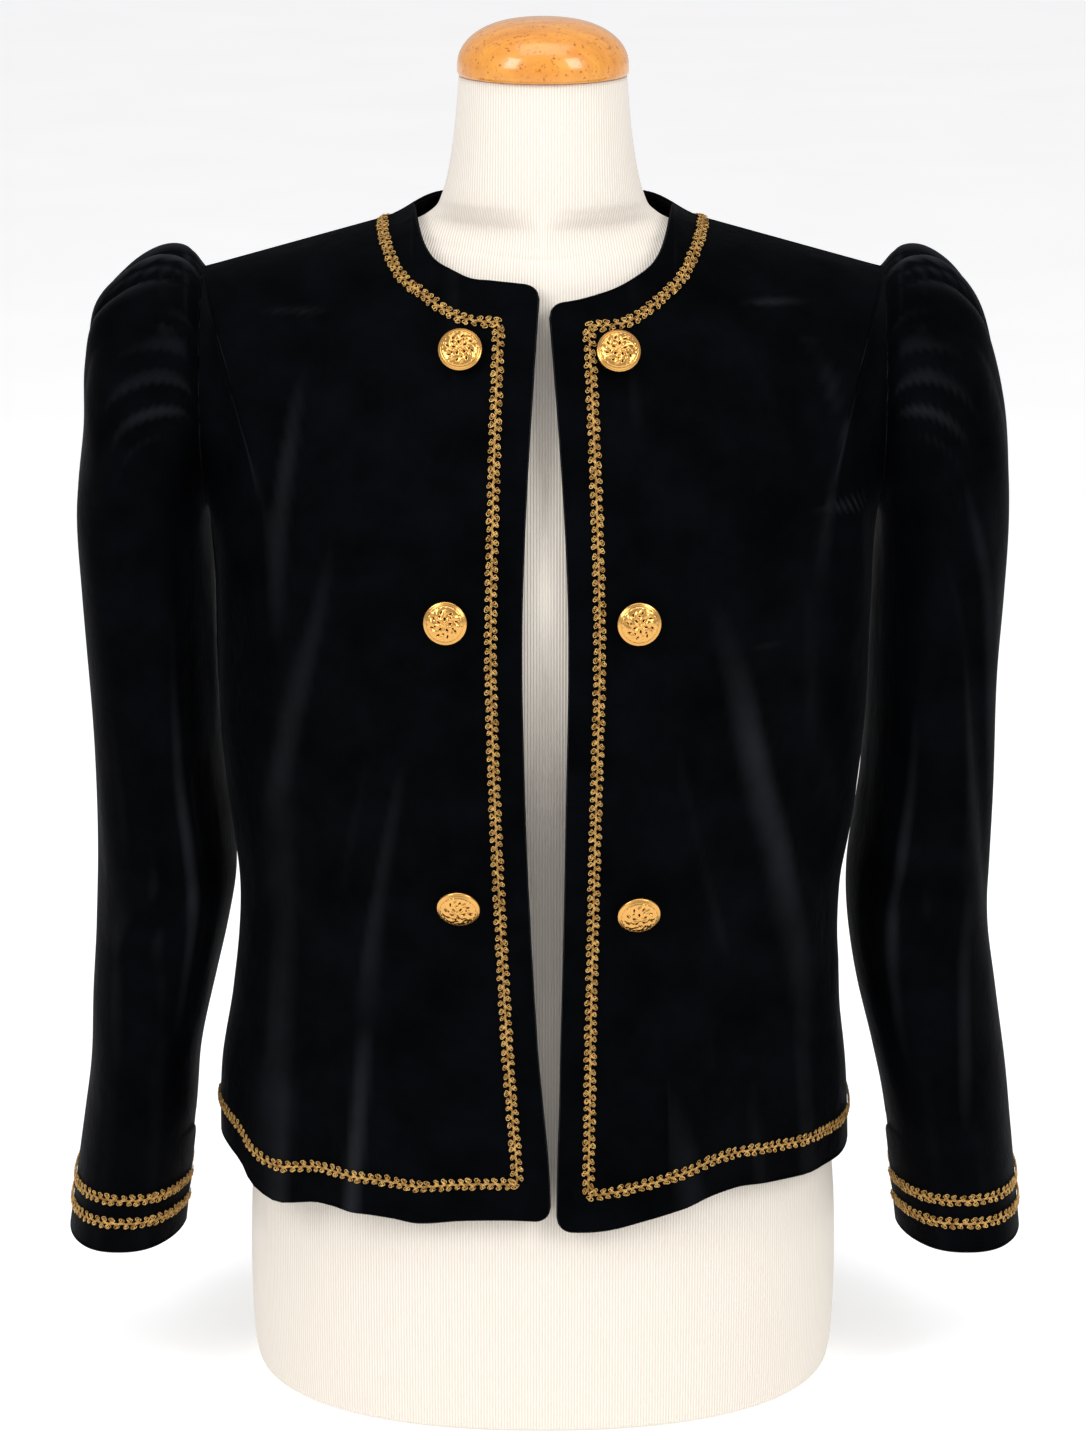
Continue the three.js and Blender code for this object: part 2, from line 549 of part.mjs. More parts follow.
// The braid of one front in one run: from the shoulder seam round the neck to the front corner, down
// beside the front edge, and along the hem to the side seam.
function frontBraid(laid) {
  const edges = neckEdges(laid);
  const { outer, inner } = BRAID_COLUMNS;
  const rise = BRAID_WIDTH / 2 / COLUMN_LENGTH;
  const corner = (share, sign) => 1 + (NECK_CORNER[laid.hem] + sign * rise) / neckCut(laid, share);
  const cornerRow = corner(inner, -1);
  edges.push({ outer: [outer, corner(outer, 1)], inner: [inner, cornerRow], gap: NECK_TRIM_GAP });
  const rows = PANEL_ROWS.filter((row) => row > BRAID_ROWS.inner && row < cornerRow - 0.02);
  for (const row of rows.reverse()) edges.push({ outer: [outer, row], inner: [inner, row] });
  edges.push({ outer: [outer, BRAID_ROWS.outer], inner: [inner, BRAID_ROWS.inner] });
  for (const share of laid.columns.filter((column) => column > inner)) {
    edges.push({ outer: [share, BRAID_ROWS.outer], inner: [share, BRAID_ROWS.inner] });
  }
  return braidOn(laid, edges);
}

function backHemBraid(laid) {
  return braidOn(laid, laid.columns.map((share) => (
    { outer: [share, BRAID_ROWS.outer], inner: [share, BRAID_ROWS.inner] })));
}

// The back neck braid crosses from one shoulder seam to the other.
function backNeckBraid(laid) {
  return braidOn(laid, [...neckEdges(laid), ...neckEdges(laid, -1).slice(0, -1).reverse()]);
}

// One point of a sleeve ring at an angle from its outer side; the front lies at -90 degrees.
function ringPoint(side, ring, angle, out = 0) {
  const radius = ovalRadius(angle + Math.PI / 2, 1, 1, ring.square);
  const c = Math.cos(angle) * radius;
  const s = Math.sin(angle) * radius;
  const inX = ring.inX + (side < 0 ? ring.rightIn : 0);
  const outX = ring.outX + (side < 0 ? ring.rightOut : 0);
  const halfX = (outX - inX) / 2;
  const halfZ = (ring.outZ - ring.inZ) / 2;
  const swell = 1 + out / Math.hypot(halfX, halfZ);
  const dx = halfX * c * swell;
  const dy = (ring.depth + out) * s;
  const turn = radians(ring.turn);
  return vector(
    side * ((outX + inX) / 2 + dx * Math.cos(turn) - dy * Math.sin(turn)),
    ring.y + dx * Math.sin(turn) + dy * Math.cos(turn),
    (ring.outZ + ring.inZ) / 2 + halfZ * c * swell,
  );
}

// Gathers of the sleeve head: uneven waves over the cap, none under the arm.
function gather(angle) {
  const fade = Math.max(0, Math.cos(angle * 0.62)) ** 0.8;
  return Math.cos(GATHERS * angle + 0.9 * Math.sin(2 * angle + 0.6)) * fade;
}

// The rings of a sleeve, as rows of points. Head rows have twice the points of the arm's. Below the
// vent's top, the last point lies under the first, and both reach past the seam.
function laySleeve(side) {
  const rows = SLEEVE_RINGS.map((ring, j) => {
    const count = j <= HEAD_ROWS ? SLEEVE_RING_HEAD : SLEEVE_RING_ARM;
    return Array.from({ length: count }, (_, i) => {
      const angle = radians(VENT_SEAM_DEG) + 2 * Math.PI * i / count;
      return ringPoint(side, ring, angle, ring.wave * gather(angle));
    });
  });
  for (const { z, laps } of CUFF_RINGS) {
    const t = (CUFF_TOP.z - z) / (CUFF_TOP.z - CUFF_RINGS[CUFF_RINGS.length - 1].z);
    const between = (key) => CUFF_TOP[key] + (CUFF_EDGE[key] - CUFF_TOP[key]) * t;
    const ring = {
      ...CUFF_EDGE,
      inX: between('inX'),
      outX: between('outX'),
      rightIn: between('rightIn'),
      rightOut: between('rightOut'),
      inZ: z,
      outZ: z,
      turn: 0,
    };
    const lap = laps === 2 ? radians(VENT_LAP_DEG) : -radians(0.4);
    rows.push(Array.from({ length: SLEEVE_RING_ARM + 1 }, (_, i) => {
      const last = SLEEVE_RING_ARM;
      const base = radians(VENT_SEAM_DEG) + 2 * Math.PI * i / last;
      if (i === 0) return ringPoint(side, ring, base - lap, VENT_SPLIT);
      if (i === 1) return ringPoint(side, ring, base, VENT_SPLIT * 0.6);
      if (i === last) return ringPoint(side, ring, base + lap, -VENT_SPLIT);
      if (i === last - 1) return ringPoint(side, ring, base, -VENT_SPLIT * 0.6);
      return ringPoint(side, ring, base);
    }));
  }
  return rows;
}

// Normals of a sleeve's rows, pointing out of the tube.
function sleeveNormals(side, rows) {
  const vent = SLEEVE_RINGS.length;
  return rows.map((line, j) => {
    const n = line.length;
    const open = j >= vent;
    return line.map((point, i) => {
      const left = open ? line[Math.max(i - 1, 0)] : line[(i - 1 + n) % n];
      const right = open ? line[Math.min(i + 1, n - 1)] : line[(i + 1) % n];
      const pick = (other) => other[Math.round(i * (other.length - (other.length % 2))
        / (n - (n % 2))) % other.length];
      const up = pick(rows[Math.max(j - 1, 0)]).clone().sub(pick(rows[Math.min(j + 1, rows.length - 1)]));
      return right.clone().sub(left).cross(up).multiplyScalar(side).normalize();
    });
  });
}

// The sleeve's wall: a tube that is closed down to the vent and open beside it below.
function sleeveSolid(rows, normals) {
  const starts = [];
  let total = 0;
  rows.forEach((line) => {
    starts.push(total);
    total += line.length;
  });
  const vent = SLEEVE_RINGS.length;
  const at = (j, i) => starts[j] + (j < vent ? i % rows[j].length : i);
  const skin = [];
  for (let j = 0; j < rows.length - 1; j += 1) {
    const many = j < vent ? rows[j].length : SLEEVE_RING_ARM;
    const few = j + 1 < vent ? rows[j + 1].length : SLEEVE_RING_ARM;
    if (many === few) {
      for (let i = 0; i < many; i += 1) {
        skin.push(...quad(at(j, i), at(j + 1, i), at(j + 1, i + 1), at(j, i + 1)));
      }
    } else {
      for (let i = 0; i < few; i += 1) {
        skin.push([at(j, 2 * i), at(j + 1, i), at(j, 2 * i + 1)]);
        skin.push([at(j, 2 * i + 1), at(j + 1, i), at(j + 1, i + 1)]);
        skin.push([at(j, 2 * i + 1), at(j + 1, i + 1), at(j, 2 * i + 2)]);
      }
    }
  }
  const faces = [...skin, ...flip(skin).map((f) => f.map((k) => k + total))];
  for (let i = 0; i < rows[0].length; i += 1) {
    faces.push(...quad(at(0, i), at(0, i + 1), at(0, i + 1) + total, at(0, i) + total));
  }
  const end = rows.length - 1;
  for (let i = 0; i < SLEEVE_RING_ARM; i += 1) {
    faces.push(...quad(at(end, i), at(end, i) + total, at(end, i + 1) + total, at(end, i + 1)));
  }
  for (let j = vent - 1; j < end; j += 1) {
    const last = SLEEVE_RING_ARM;
    faces.push(...quad(at(j, 0), at(j, 0) + total, at(j + 1, 0) + total, at(j + 1, 0)));
    faces.push(...quad(at(j, last), at(j + 1, last), at(j + 1, last) + total, at(j, last) + total));
  }
  const outer = rows.flat();
  const inner = rows.flatMap((line, j) => line.map((point, i) => (
    point.clone().addScaledVector(normals[j][i], -CLOTH))));
  return closed([...outer, ...inner], faces);
}

// One row of braid round a cuff, from the vent's upper edge to just short of its lower edge.
function cuffBraid(rows, normals, [top, bottom]) {
  const first = SLEEVE_RINGS.length;
  const lift = (distance) => [bottom, top].map((k) => rows[first + k].slice(0, -1)
    .map((point, i) => point.clone().addScaledVector(normals[first + k][i], distance)));
  return wall(lift(TRIM_GAP + BRAID_THICK), lift(TRIM_GAP));
}

// A domed button on its shank, turned about +Z: the shank's foot is at the origin.
function buttonGeometry(height) {
  const profile = [
    [0, 0], [SHANK_RADIUS, 0], [SHANK_RADIUS, height], [BUTTON_RADIUS - 1.6, height],
    [BUTTON_RADIUS, height + 1], [BUTTON_RADIUS, height + 2.2], [BUTTON_RADIUS - 1.4, height + 3],
    [BUTTON_RADIUS * 0.5, height + BUTTON_HEIGHT - 0.8], [0, height + BUTTON_HEIGHT],
  ];
  const lathe = new THREE.LatheGeometry(profile.map(([x, y]) => new THREE.Vector2(x, y)), 12);
  return lathe.rotateX(Math.PI / 2);
}

// Finds the place on a front that lies at (x, z) when looked at from the front.
function frontPlace(laid, x, z) {
  let best = { gap: Infinity };
  for (let share = 0.03; share < 0.6; share += 0.004) {
    for (let row = 0.05; row < 2; row += 0.01) {
      const spot = onPanel(laid, share, row);
      const gap = Math.hypot(Math.abs(spot.point.x) - x, spot.point.z - z);
      if (gap < best.gap) best = { gap, ...spot };
    }
  }
  return best;
}

// Seats a button on the cloth, nose-down by its droop, with its shank's foot a seam's gap away.
function placeButton(mesh, laid, { x, z, droop }) {
  const { point, normal } = frontPlace(laid, x, z);
  const axis = normal.clone().applyAxisAngle(vector(1, 0, 0), radians(droop));
  mesh.quaternion.setFromUnitVectors(vector(0, 0, 1), axis);
  const tilt = Math.sin(axis.angleTo(normal)) * SHANK_RADIUS;
  mesh.position.copy(point).addScaledVector(normal, SEAM + tilt);
}

// The dress form's body: rings of points, closed flat at the base and at the neck's top.
function formSolid() {
  const count = 28;
  const rings = FORM_RINGS.map(({ z, half, front, back, square }) => (
    Array.from({ length: count }, (_, i) => {
      const turn = 2 * Math.PI * i / count;
      const radius = ovalRadius(turn, half, Math.cos(turn) > 0 ? front : back, square);
      return vector(radius * Math.sin(turn), -radius * Math.cos(turn), z);
    })));
  const points = rings.flat();
  const faces = [];
  for (let j = 0; j < rings.length - 1; j += 1) {
    for (let i = 0; i < count; i += 1) {
      const next = (i + 1) % count;
      faces.push(...quad(j * count + i, j * count + next, (j + 1) * count + next, (j + 1) * count + i));
    }
  }
  const base = points.length;
  points.push(vector(0, 0, 0), vector(0, 0, NECK_TOP_Z));
  const top = (rings.length - 1) * count;
  for (let i = 0; i < count; i += 1) {
    const next = (i + 1) % count;
    faces.push([base, next, i], [base + 1, top + i, top + next]);
  }
  return closed(points, faces);
}

// The turned neck cap: a low dome over a short rounded rim.
function capGeometry() {
  const rim = 6;
  const dome = Array.from({ length: 6 }, (_, k) => {
    const turn = radians(90 * k / 5);
    return [CAP_RADIUS * Math.cos(turn) ** 0.8, rim + (CAP_HEIGHT - rim) * Math.sin(turn)];
  });
  dome[5][0] = 0;
  const profile = [[0, 0], [CAP_RADIUS - 3, 0], [CAP_RADIUS - 0.8, 1.6], ...dome];
  const lathe = new THREE.LatheGeometry(profile.map(([x, y]) => new THREE.Vector2(x, y)), 28);
  return lathe.rotateX(Math.PI / 2).translate(0, 0, NECK_TOP_Z + SEAM);
}

function add(group, name, geometry, finish) {
  const mesh = new THREE.Mesh(geometry, new THREE.MeshStandardMaterial(finish));
  mesh.name = name;
  group.add(mesh);
  return mesh;
}

const jacket = new THREE.Group();
const SIDES = { right: -1, left: 1 };

for (const [name, side] of Object.entries(SIDES)) {
  const front = layPanel({ side, front: true, hem: name }, FRONT_COLUMNS);
  add(jacket, `front_${name}`, panelSolid(front), VELVET);
  add(jacket, `braid_front_${name}`, frontBraid(front), BRAID);
  for (const button of BUTTONS.filter((entry) => entry.side === side)) {
    const height = button.droop > 10 ? 6 : 3.4;
    const mesh = add(jacket, `button_${name}_${button.number}`, buttonGeometry(height), BRASS);
    placeButton(mesh, front, button);
  }
  const rows = laySleeve(side);
  const normals = sleeveNormals(side, rows);
  add(jacket, `sleeve_${name}`, sleeveSolid(rows, normals), VELVET);
  for (const [place, edges] of Object.entries(CUFF_BRAIDS)) {
    add(jacket, `braid_cuff_${name}_${place}`, cuffBraid(rows, normals, edges), BRAID);
  }
}

const backColumns = [...BACK_HALF.slice(1).map((share) => -share).reverse(), ...BACK_HALF];
const back = layPanel({ side: 1, front: false, hem: 'back' }, backColumns);
add(jacket, 'back', panelSolid(back), VELVET);
add(jacket, 'braid_hem_back', backHemBraid(back), BRAID);
add(jacket, 'braid_neck_back', backNeckBraid(back), BRAID);

add(jacket, 'form_body', formSolid(), JERSEY);
add(jacket, 'form_neck_cap', capGeometry(), WOOD);

export default jacket;
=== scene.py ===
from math import pi, radians

import bpy
import numpy as np
from mathutils import Matrix, Vector


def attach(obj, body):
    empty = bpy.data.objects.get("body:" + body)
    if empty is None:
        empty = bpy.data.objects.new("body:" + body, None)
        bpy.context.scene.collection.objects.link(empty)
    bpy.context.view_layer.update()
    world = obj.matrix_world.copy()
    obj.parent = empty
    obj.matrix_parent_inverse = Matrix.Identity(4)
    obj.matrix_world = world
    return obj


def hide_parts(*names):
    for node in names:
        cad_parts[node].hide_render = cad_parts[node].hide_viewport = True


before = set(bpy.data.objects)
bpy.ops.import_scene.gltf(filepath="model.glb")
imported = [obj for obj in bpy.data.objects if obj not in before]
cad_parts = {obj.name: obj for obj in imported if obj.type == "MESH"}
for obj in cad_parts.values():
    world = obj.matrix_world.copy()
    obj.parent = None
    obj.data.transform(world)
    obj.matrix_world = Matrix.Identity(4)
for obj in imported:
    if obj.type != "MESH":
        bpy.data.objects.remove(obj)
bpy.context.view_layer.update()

# Dress form body. A limbless torso with its neck, padded and covered in cream ribbed jersey that is
# stretched over it, with a seam round the foot of the neck and a firm flat base. Sizes are in mm.
# Columns: level, half width, depth to the front, depth to the back, exponent of the oval.
form_rings = np.array([
    (0, 164, 115, 102, 2.2), (2.5, 170, 120, 107, 2.2), (8, 173.5, 122.8, 109.6, 2.2),
    (25, 176, 124.5, 111, 2.2), (70, 177, 125, 112, 2.2), (115, 175.5, 123, 110, 2.2),
    (165, 170, 118, 106, 2.2), (230, 153, 105, 95, 2.2), (300, 131, 93, 83, 2.2), (350, 129, 92, 82, 2.2),
    (420, 142, 108, 89, 2.2), (490, 155, 118, 96, 2.2), (535, 160, 111, 98, 2.2), (580, 163, 96, 94, 2.1),
    (620, 163, 80, 80, 1.8), (645, 160, 69, 69, 1.5), (665.6, 154, 60, 60, 1.25),
    (678.6, 140, 53.5, 53, 1.05), (686.7, 108, 49.5, 48, 1), (694.6, 75, 46.5, 46.5, 1.1),
    (701.5, 62.5, 45.2, 46, 1.5), (708, 58.5, 44.8, 46, 1.9), (722, 54.5, 45, 45.5, 2), (744, 51, 45, 45, 2),
    (776, 48, 45, 45, 2)])
millimetre = 0.001
form_sides = 176
form_shrink = 0.5
rib_pitch = 1.7
neck_seam_groove, neck_seam_width = 0.7, 1.3
neck_seam_front, neck_seam_rise = 679, 9


def cubic(t, start, start_run, end, end_run):
    """A curve from start to end as t goes from 0 to 1, which leaves and arrives along the two runs."""
    return ((2 * t**3 - 3 * t**2 + 1) * start + (t**3 - 2 * t**2 + t) * start_run
            + (3 * t**2 - 2 * t**3) * end + (t**3 - t**2) * end_run)


def smooth(keys, values, at):
    """A curve through a table's values: cubic pieces whose slopes come from the neighbours."""
    at = np.clip(at, keys[0], keys[-1])
    k = np.clip(np.searchsorted(keys, at, side="right") - 1, 0, len(keys) - 2)
    low = np.maximum(np.arange(len(keys)) - 1, 0)
    high = np.minimum(np.arange(len(keys)) + 1, len(keys) - 1)
    slope = (values[high] - values[low]) / (keys[high] - keys[low])
    span = keys[k + 1] - keys[k]
    return cubic((at - keys[k]) / span, values[k], span * slope[k], values[k + 1], span * slope[k + 1])


def read_off(table, column, at):
    """A table's column, as a smooth curve over its first column."""
    return smooth(table[:, 0], table[:, column], at)


def oval(turn, half, depth, square):
    """Radius of an oval at an angle from its front: (|sin/half|^square + |cos/depth|^square)^(-1/square)."""
    across = np.abs(np.sin(turn) / half)**square
    along = np.abs(np.cos(turn) / depth)**square
    return (across + along)**(-1 / square)


def bell(x, width):
    """A smooth bump of height 1: exp(-(x / width)^2)."""
    return np.exp(-(x / width)**2)


def angles(sides):
    """Even angles once round."""
    return 2 * pi * np.arange(sides) / sides


def stretches(*spans):
    """Values in even steps over stretches that join: each is its start, end and number of values."""
    return np.concatenate([np.linspace(*span)[:-1] for span in spans] + [[spans[-1][1]]])


def add_mesh(name, points, faces, look, uv=None):
    """A smooth-shaded piece of one material from points in mm and a list of face arrays, each with one
    face a row. uv is in mm too, one pair for each point."""
    faces = [np.asarray(block) for block in faces if len(block)]
    corners = np.concatenate([block.ravel() for block in faces])
    lengths = np.concatenate([np.full(len(block), block.shape[1]) for block in faces])
    mesh = bpy.data.meshes.new(name)
    mesh.vertices.add(len(points))
    mesh.vertices.foreach_set("co", (points * millimetre).ravel())
    mesh.loops.add(len(corners))
    mesh.loops.foreach_set("vertex_index", corners.astype(np.int32))
    mesh.polygons.add(len(lengths))
    mesh.polygons.foreach_set("loop_start", (np.cumsum(lengths) - lengths).astype(np.int32))
    mesh.polygons.foreach_set("use_smooth", np.ones(len(lengths), bool))
    if uv is not None:
        layer = mesh.uv_layers.new(name="UVMap")
        layer.uv.foreach_set("vector", (uv[corners] * millimetre).astype(np.float32).ravel())
    mesh.materials.append(look)
    mesh.update(calc_edges=True)
    made = bpy.data.objects.new(name, mesh)
    bpy.context.scene.collection.objects.link(made)
    return made


def cells(ids, ring=False):
    """The four-cornered faces of a grid of point numbers; a ring's last column joins its first."""
    if ring:
        ids = np.concatenate([ids, ids[:, :1]], 1)
    corners = (ids[:-1, :-1], ids[:-1, 1:], ids[1:, 1:], ids[1:, :-1])
    return np.stack(corners, -1).reshape(-1, 4)


def fan(ring, middle):
    """Triangles from a ring of point numbers to one middle point."""
    return np.stack([ring, np.roll(ring, -1), np.full(len(ring), middle)], -1)


def closed(grid, ends, flip=False):
    """Points and faces of a grid whose rows are rings, with a fan to an end point at either end; flip
    turns the faces over."""
    ids = np.arange(grid[..., 0].size).reshape(grid.shape[:2])
    step = -1 if flip else 1
    faces = [cells(ids, True)[:, ::step], fan(ids[0][::-step], ids.size), fan(ids[-1][::step], ids.size + 1)]
    return np.concatenate([grid.reshape(-1, 3), ends]), faces


def material(name, **values):
    """A material whose surface shader has the given values on its own sockets."""
    made = bpy.data.materials.new(name)
    made.use_nodes = True
    shader = made.node_tree.nodes["Principled BSDF"]
    for socket, value in values.items():
        shader.inputs[socket.replace("_", " ")].default_value = value
    return made, made.node_tree, shader


def node(tree, kind, inputs, **options):
    """A shader node; an input that is another node's output is linked to it."""
    made = tree.nodes.new("ShaderNode" + kind)
    for option, value in options.items():
        setattr(made, option, value)
    for socket, value in inputs.items():
        if isinstance(value, bpy.types.NodeSocket):
            tree.links.new(value, made.inputs[socket])
        else:
            made.inputs[socket].default_value = value
    return made


def noise(tree, place, scale, detail=2.0, roughness=0.5):
    """Soft random values at the given size."""
    inputs = {"Vector": place, "Scale": scale, "Detail": detail, "Roughness": roughness}
    return node(tree, "TexNoise", inputs).outputs["Fac"]


def blend_colours(tree, share, first, second, low=0.3, high=0.7):
    """A colour that runs from the first to the second as the share goes from low to high."""
    ramp = node(tree, "ValToRGB", {"Fac": share})
    for stop, (place, colour) in zip(ramp.color_ramp.elements, ((low, first), (high, second))):
        stop.position = place
        stop.color = (*colour, 1)
    return ramp.outputs["Color"]


def bump(tree, shader, height, depth, strength=1.0, under=None):
    """Raises the surface's shading by a height texture; depth is in metres."""
    inputs = {"Height": height, "Distance": depth, "Strength": strength}
    if under is not None:
        inputs["Normal"] = under
    made = node(tree, "Bump", inputs).outputs["Normal"]
    tree.links.new(made, shader.inputs["Normal"])
    return made


def maths(tree, operation, first, second=0.0, third=0.0):
    """One step of arithmetic between values or outputs."""
    return node(tree, "Math", {0: first, 1: second, 2: third}, operation=operation).outputs[0]


jersey, jersey_nodes, jersey_shader = material(
    "cream_jersey", Roughness=0.92, Sheen_Weight=0.25, Sheen_Roughness=0.5, Specular_IOR_Level=0.2)
jersey_place = node(jersey_nodes, "TexCoord", {}).outputs["UV"]
jersey_across = node(jersey_nodes, "SeparateXYZ", {0: jersey_place}).outputs["X"]
rib_wave = maths(jersey_nodes, "SINE", maths(
    jersey_nodes, "MULTIPLY", jersey_across, 2 * pi / (rib_pitch * millimetre)))
rib_height = maths(jersey_nodes, "MULTIPLY_ADD", rib_wave, 0.5, 0.5)
# Painted shade: the cream is darker in the grooves between the ribs, following the wave of the rib bump.
jersey_colour_with_groove_shade = blend_colours(jersey_nodes, rib_height, (0.68, 0.61, 0.52), (0.83, 0.77, 0.69), 0.0, 0.7)
jersey_nodes.links.new(jersey_colour_with_groove_shade, jersey_shader.inputs["Base Color"])
jersey_fuzz = noise(jersey_nodes, jersey_place, 2500.0, 3.0, 0.7)
ribs = bump(jersey_nodes, jersey_shader, rib_height, 0.0003, 0.8)
bump(jersey_nodes, jersey_shader, jersey_fuzz, 0.0002, 0.5, under=ribs)

form_levels = stretches((0, 10, 16), (10, 640, 90), (640, 712, 66), (712, 776, 24))
turn, level = np.meshgrid(angles(form_sides), form_levels)
half, front_depth, back_depth, square = [read_off(form_rings, k, level) for k in range(1, 5)]
radius = oval(turn, half, np.where(np.cos(turn) > 0, front_depth, back_depth), square) - form_shrink
seam_level = neck_seam_front + neck_seam_rise * (1 - np.cos(turn))
radius -= neck_seam_groove * bell(level - seam_level, neck_seam_width)
form_grid = np.stack([radius * np.sin(turn), -radius * np.cos(turn), level], -1)
form_points, form_faces = closed(form_grid, [(0, 0, 0), (0, 0, form_levels[-1])])
form_steps = np.linalg.norm(np.roll(form_grid, -1, 1) - form_grid, axis=-1)
form_around = np.cumsum(form_steps, 1) - form_steps
form_around -= np.where(turn > pi, form_steps.sum(1, keepdims=True), 0)
form_uv = np.stack([form_around, level], -1).reshape(-1, 2)
form_uv = np.concatenate([form_uv, [(0, 0), (0, form_levels[-1])]])
form_body = add_mesh("dress_form_body", form_points, form_faces, jersey, form_uv)
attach(form_body, "root")
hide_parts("form_body")

# Neck cap. A low dome of turned wood over a rounded rim, stained orange and thickly varnished, that
# closes the top of the form's neck.
cap_radius, cap_height, cap_rim, cap_foot = 48.6, 32.5, 6.0, 776.3
cap_edge, cap_fullness = 3, 0.8
cap_sides = 128


def turned(profile, sides):
    """Rings of points from a profile of radius and level that is turned about +Z."""
    across, up, a = profile[:, :1], profile[:, 1:], angles(sides)
    return np.stack(np.broadcast_arrays(across * np.cos(a), across * np.sin(a), up), -1)


wood, wood_nodes, wood_shader = material(
    "varnished_wood", Roughness=0.3, Coat_Weight=0.55, Coat_Roughness=0.06, Specular_IOR_Level=0.5)
wood_place = node(wood_nodes, "TexCoord", {}).outputs["Object"]
wood_stretch = node(wood_nodes, "Mapping", {"Vector": wood_place, "Scale": (1.0, 5.0, 1.5)}).outputs[0]
wood_grain = noise(wood_nodes, wood_stretch, 38.0, 6.0, 0.62)
wood_flecks = noise(wood_nodes, wood_place, 420.0, 2.0, 0.6)
wood_tone = blend_colours(wood_nodes, wood_grain, (0.60, 0.21, 0.018), (0.76, 0.32, 0.035))
fleck_tone = blend_colours(wood_nodes, wood_flecks, (0.45, 0.22, 0.08), (1.0, 1.0, 1.0), 0.26, 0.42)
wood_mix = node(wood_nodes, "Mix", {0: 1.0, 6: wood_tone, 7: fleck_tone}, data_type="RGBA",
                blend_type="MULTIPLY")
wood_nodes.links.new(wood_mix.outputs[2], wood_shader.inputs["Base Color"])
bump(wood_nodes, wood_shader, wood_grain, 0.0004, 0.25)

cap_turn = np.linspace(0, pi / 2, 40)
cap_dome = np.stack([cap_radius * np.cos(cap_turn)**cap_fullness,
                     cap_rim + (cap_height - cap_rim) * np.sin(cap_turn)], -1)
cap_bend = np.linspace(0, pi / 2, 7)
cap_lip = np.stack([cap_radius - cap_edge + cap_edge * np.sin(cap_bend),
                    cap_edge - cap_edge * np.cos(cap_bend)], -1)
cap_profile = np.concatenate([[(cap_radius / 2, 0)], cap_lip, cap_dome[:-1]])
cap_points, cap_faces = closed(turned(cap_profile, cap_sides), [(0, 0, 0), (0, 0, cap_height)])
neck_cap = add_mesh("dress_form_neck_cap", cap_points + (0, 0, cap_foot), cap_faces, wood)
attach(neck_cap, "root")
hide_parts("form_neck_cap")

# Jacket body: right front, left front and a back cut in one, in black silk velvet, joined at the
# shoulder and side seams. The cloth hangs from the shoulders in long soft folds.
# Columns: level, half width on the wearer's right and left, depth to the front, depth to the back.
body_rings = np.array([
    (120, 194, 184, 134, 119), (190, 192, 181, 130, 115), (240, 184, 176, 126, 109),
    (300, 178, 176, 124, 104), (360, 185, 184, 125, 102), (420, 190, 189, 128, 104),
    (480, 190.5, 190.5, 130.5, 108), (540, 190.5, 190.5, 124, 112)])
# Columns: level, how far the right and the left front edge lie to their own side of the middle.
front_edges = np.array([
    (130, -4.4, 8.2), (170, -2.8, 8.9), (206, 0.5, 9.9), (238, 3.4, 10.5), (302, 7.2, 12.1), (366, 10, 13.2),
    (446, 12, 14.6), (503, 12, 14.6)])
# Columns: share of a panel's upper edge, share of the way round the body to the side seam.
reaches = np.array([(0, 0), (0.2, 0.139), (0.4, 0.277), (0.6, 0.44), (0.8, 0.63), (0.9, 0.8), (1, 1)])
# Columns: share of the way to the side seam, hem level on the right front, left front and back.
hems = np.array([
    (0, 137.5, 131.5, 141), (0.12, 138.5, 131.5, 140), (0.24, 137.5, 136.5, 139), (0.34, 134.5, 143.5, 138),
    (0.4, 137, 148.5, 138), (0.48, 139, 151, 139), (0.56, 140.5, 150.5, 140), (0.64, 138, 149.5, 139),
    (0.71, 142.5, 149, 140), (0.78, 150.5, 147, 142), (0.87, 153.5, 146, 145), (1, 149.5, 147, 148)])
# Columns: share of the upper edge, how far up its column the neckline cuts it, right, left and back.
neck_cuts = np.array([
    (0, 0.716, 0.672, 0.857), (0.08, 0.727, 0.683, 0.85), (0.15, 0.726, 0.69, 0.87),
    (0.22, 0.718, 0.695, 0.9), (0.28, 0.728, 0.709, 0.925), (0.33, 0.753, 0.74, 0.953),
    (0.36, 0.795, 0.785, 0.972), (0.38, 0.855, 0.85, 0.985), (0.392, 0.925, 0.92, 0.993), (0.4, 1, 1, 1)])
seam = 0.3
chest_level = 480
body_square, body_half = 2.4, 190
corner_round, hem_spread = 9.0, 150
neck_point = np.array([74, 7, 700.0])
shoulder_tip = np.array([193.05, 0, 668.0])
armhole_middle, armhole_rise, armhole_reach, armhole_out = 599, 69, 58, 0.6
neck_share, shoulder_share, shoulder_lean = 0.4, 0.8, 0.98
neck_rise, neck_rise_from, neck_rise_over = 12.0, 91, 45
neck_spread, shoulder_spread, column_length = 185, 281.6, 260
# How the middle of the shoulder line is moved back, raised and made steeper.
front_shift, back_shift = (-19.0, -27.0, 0.0), (26.0, 2.0, 0.42)
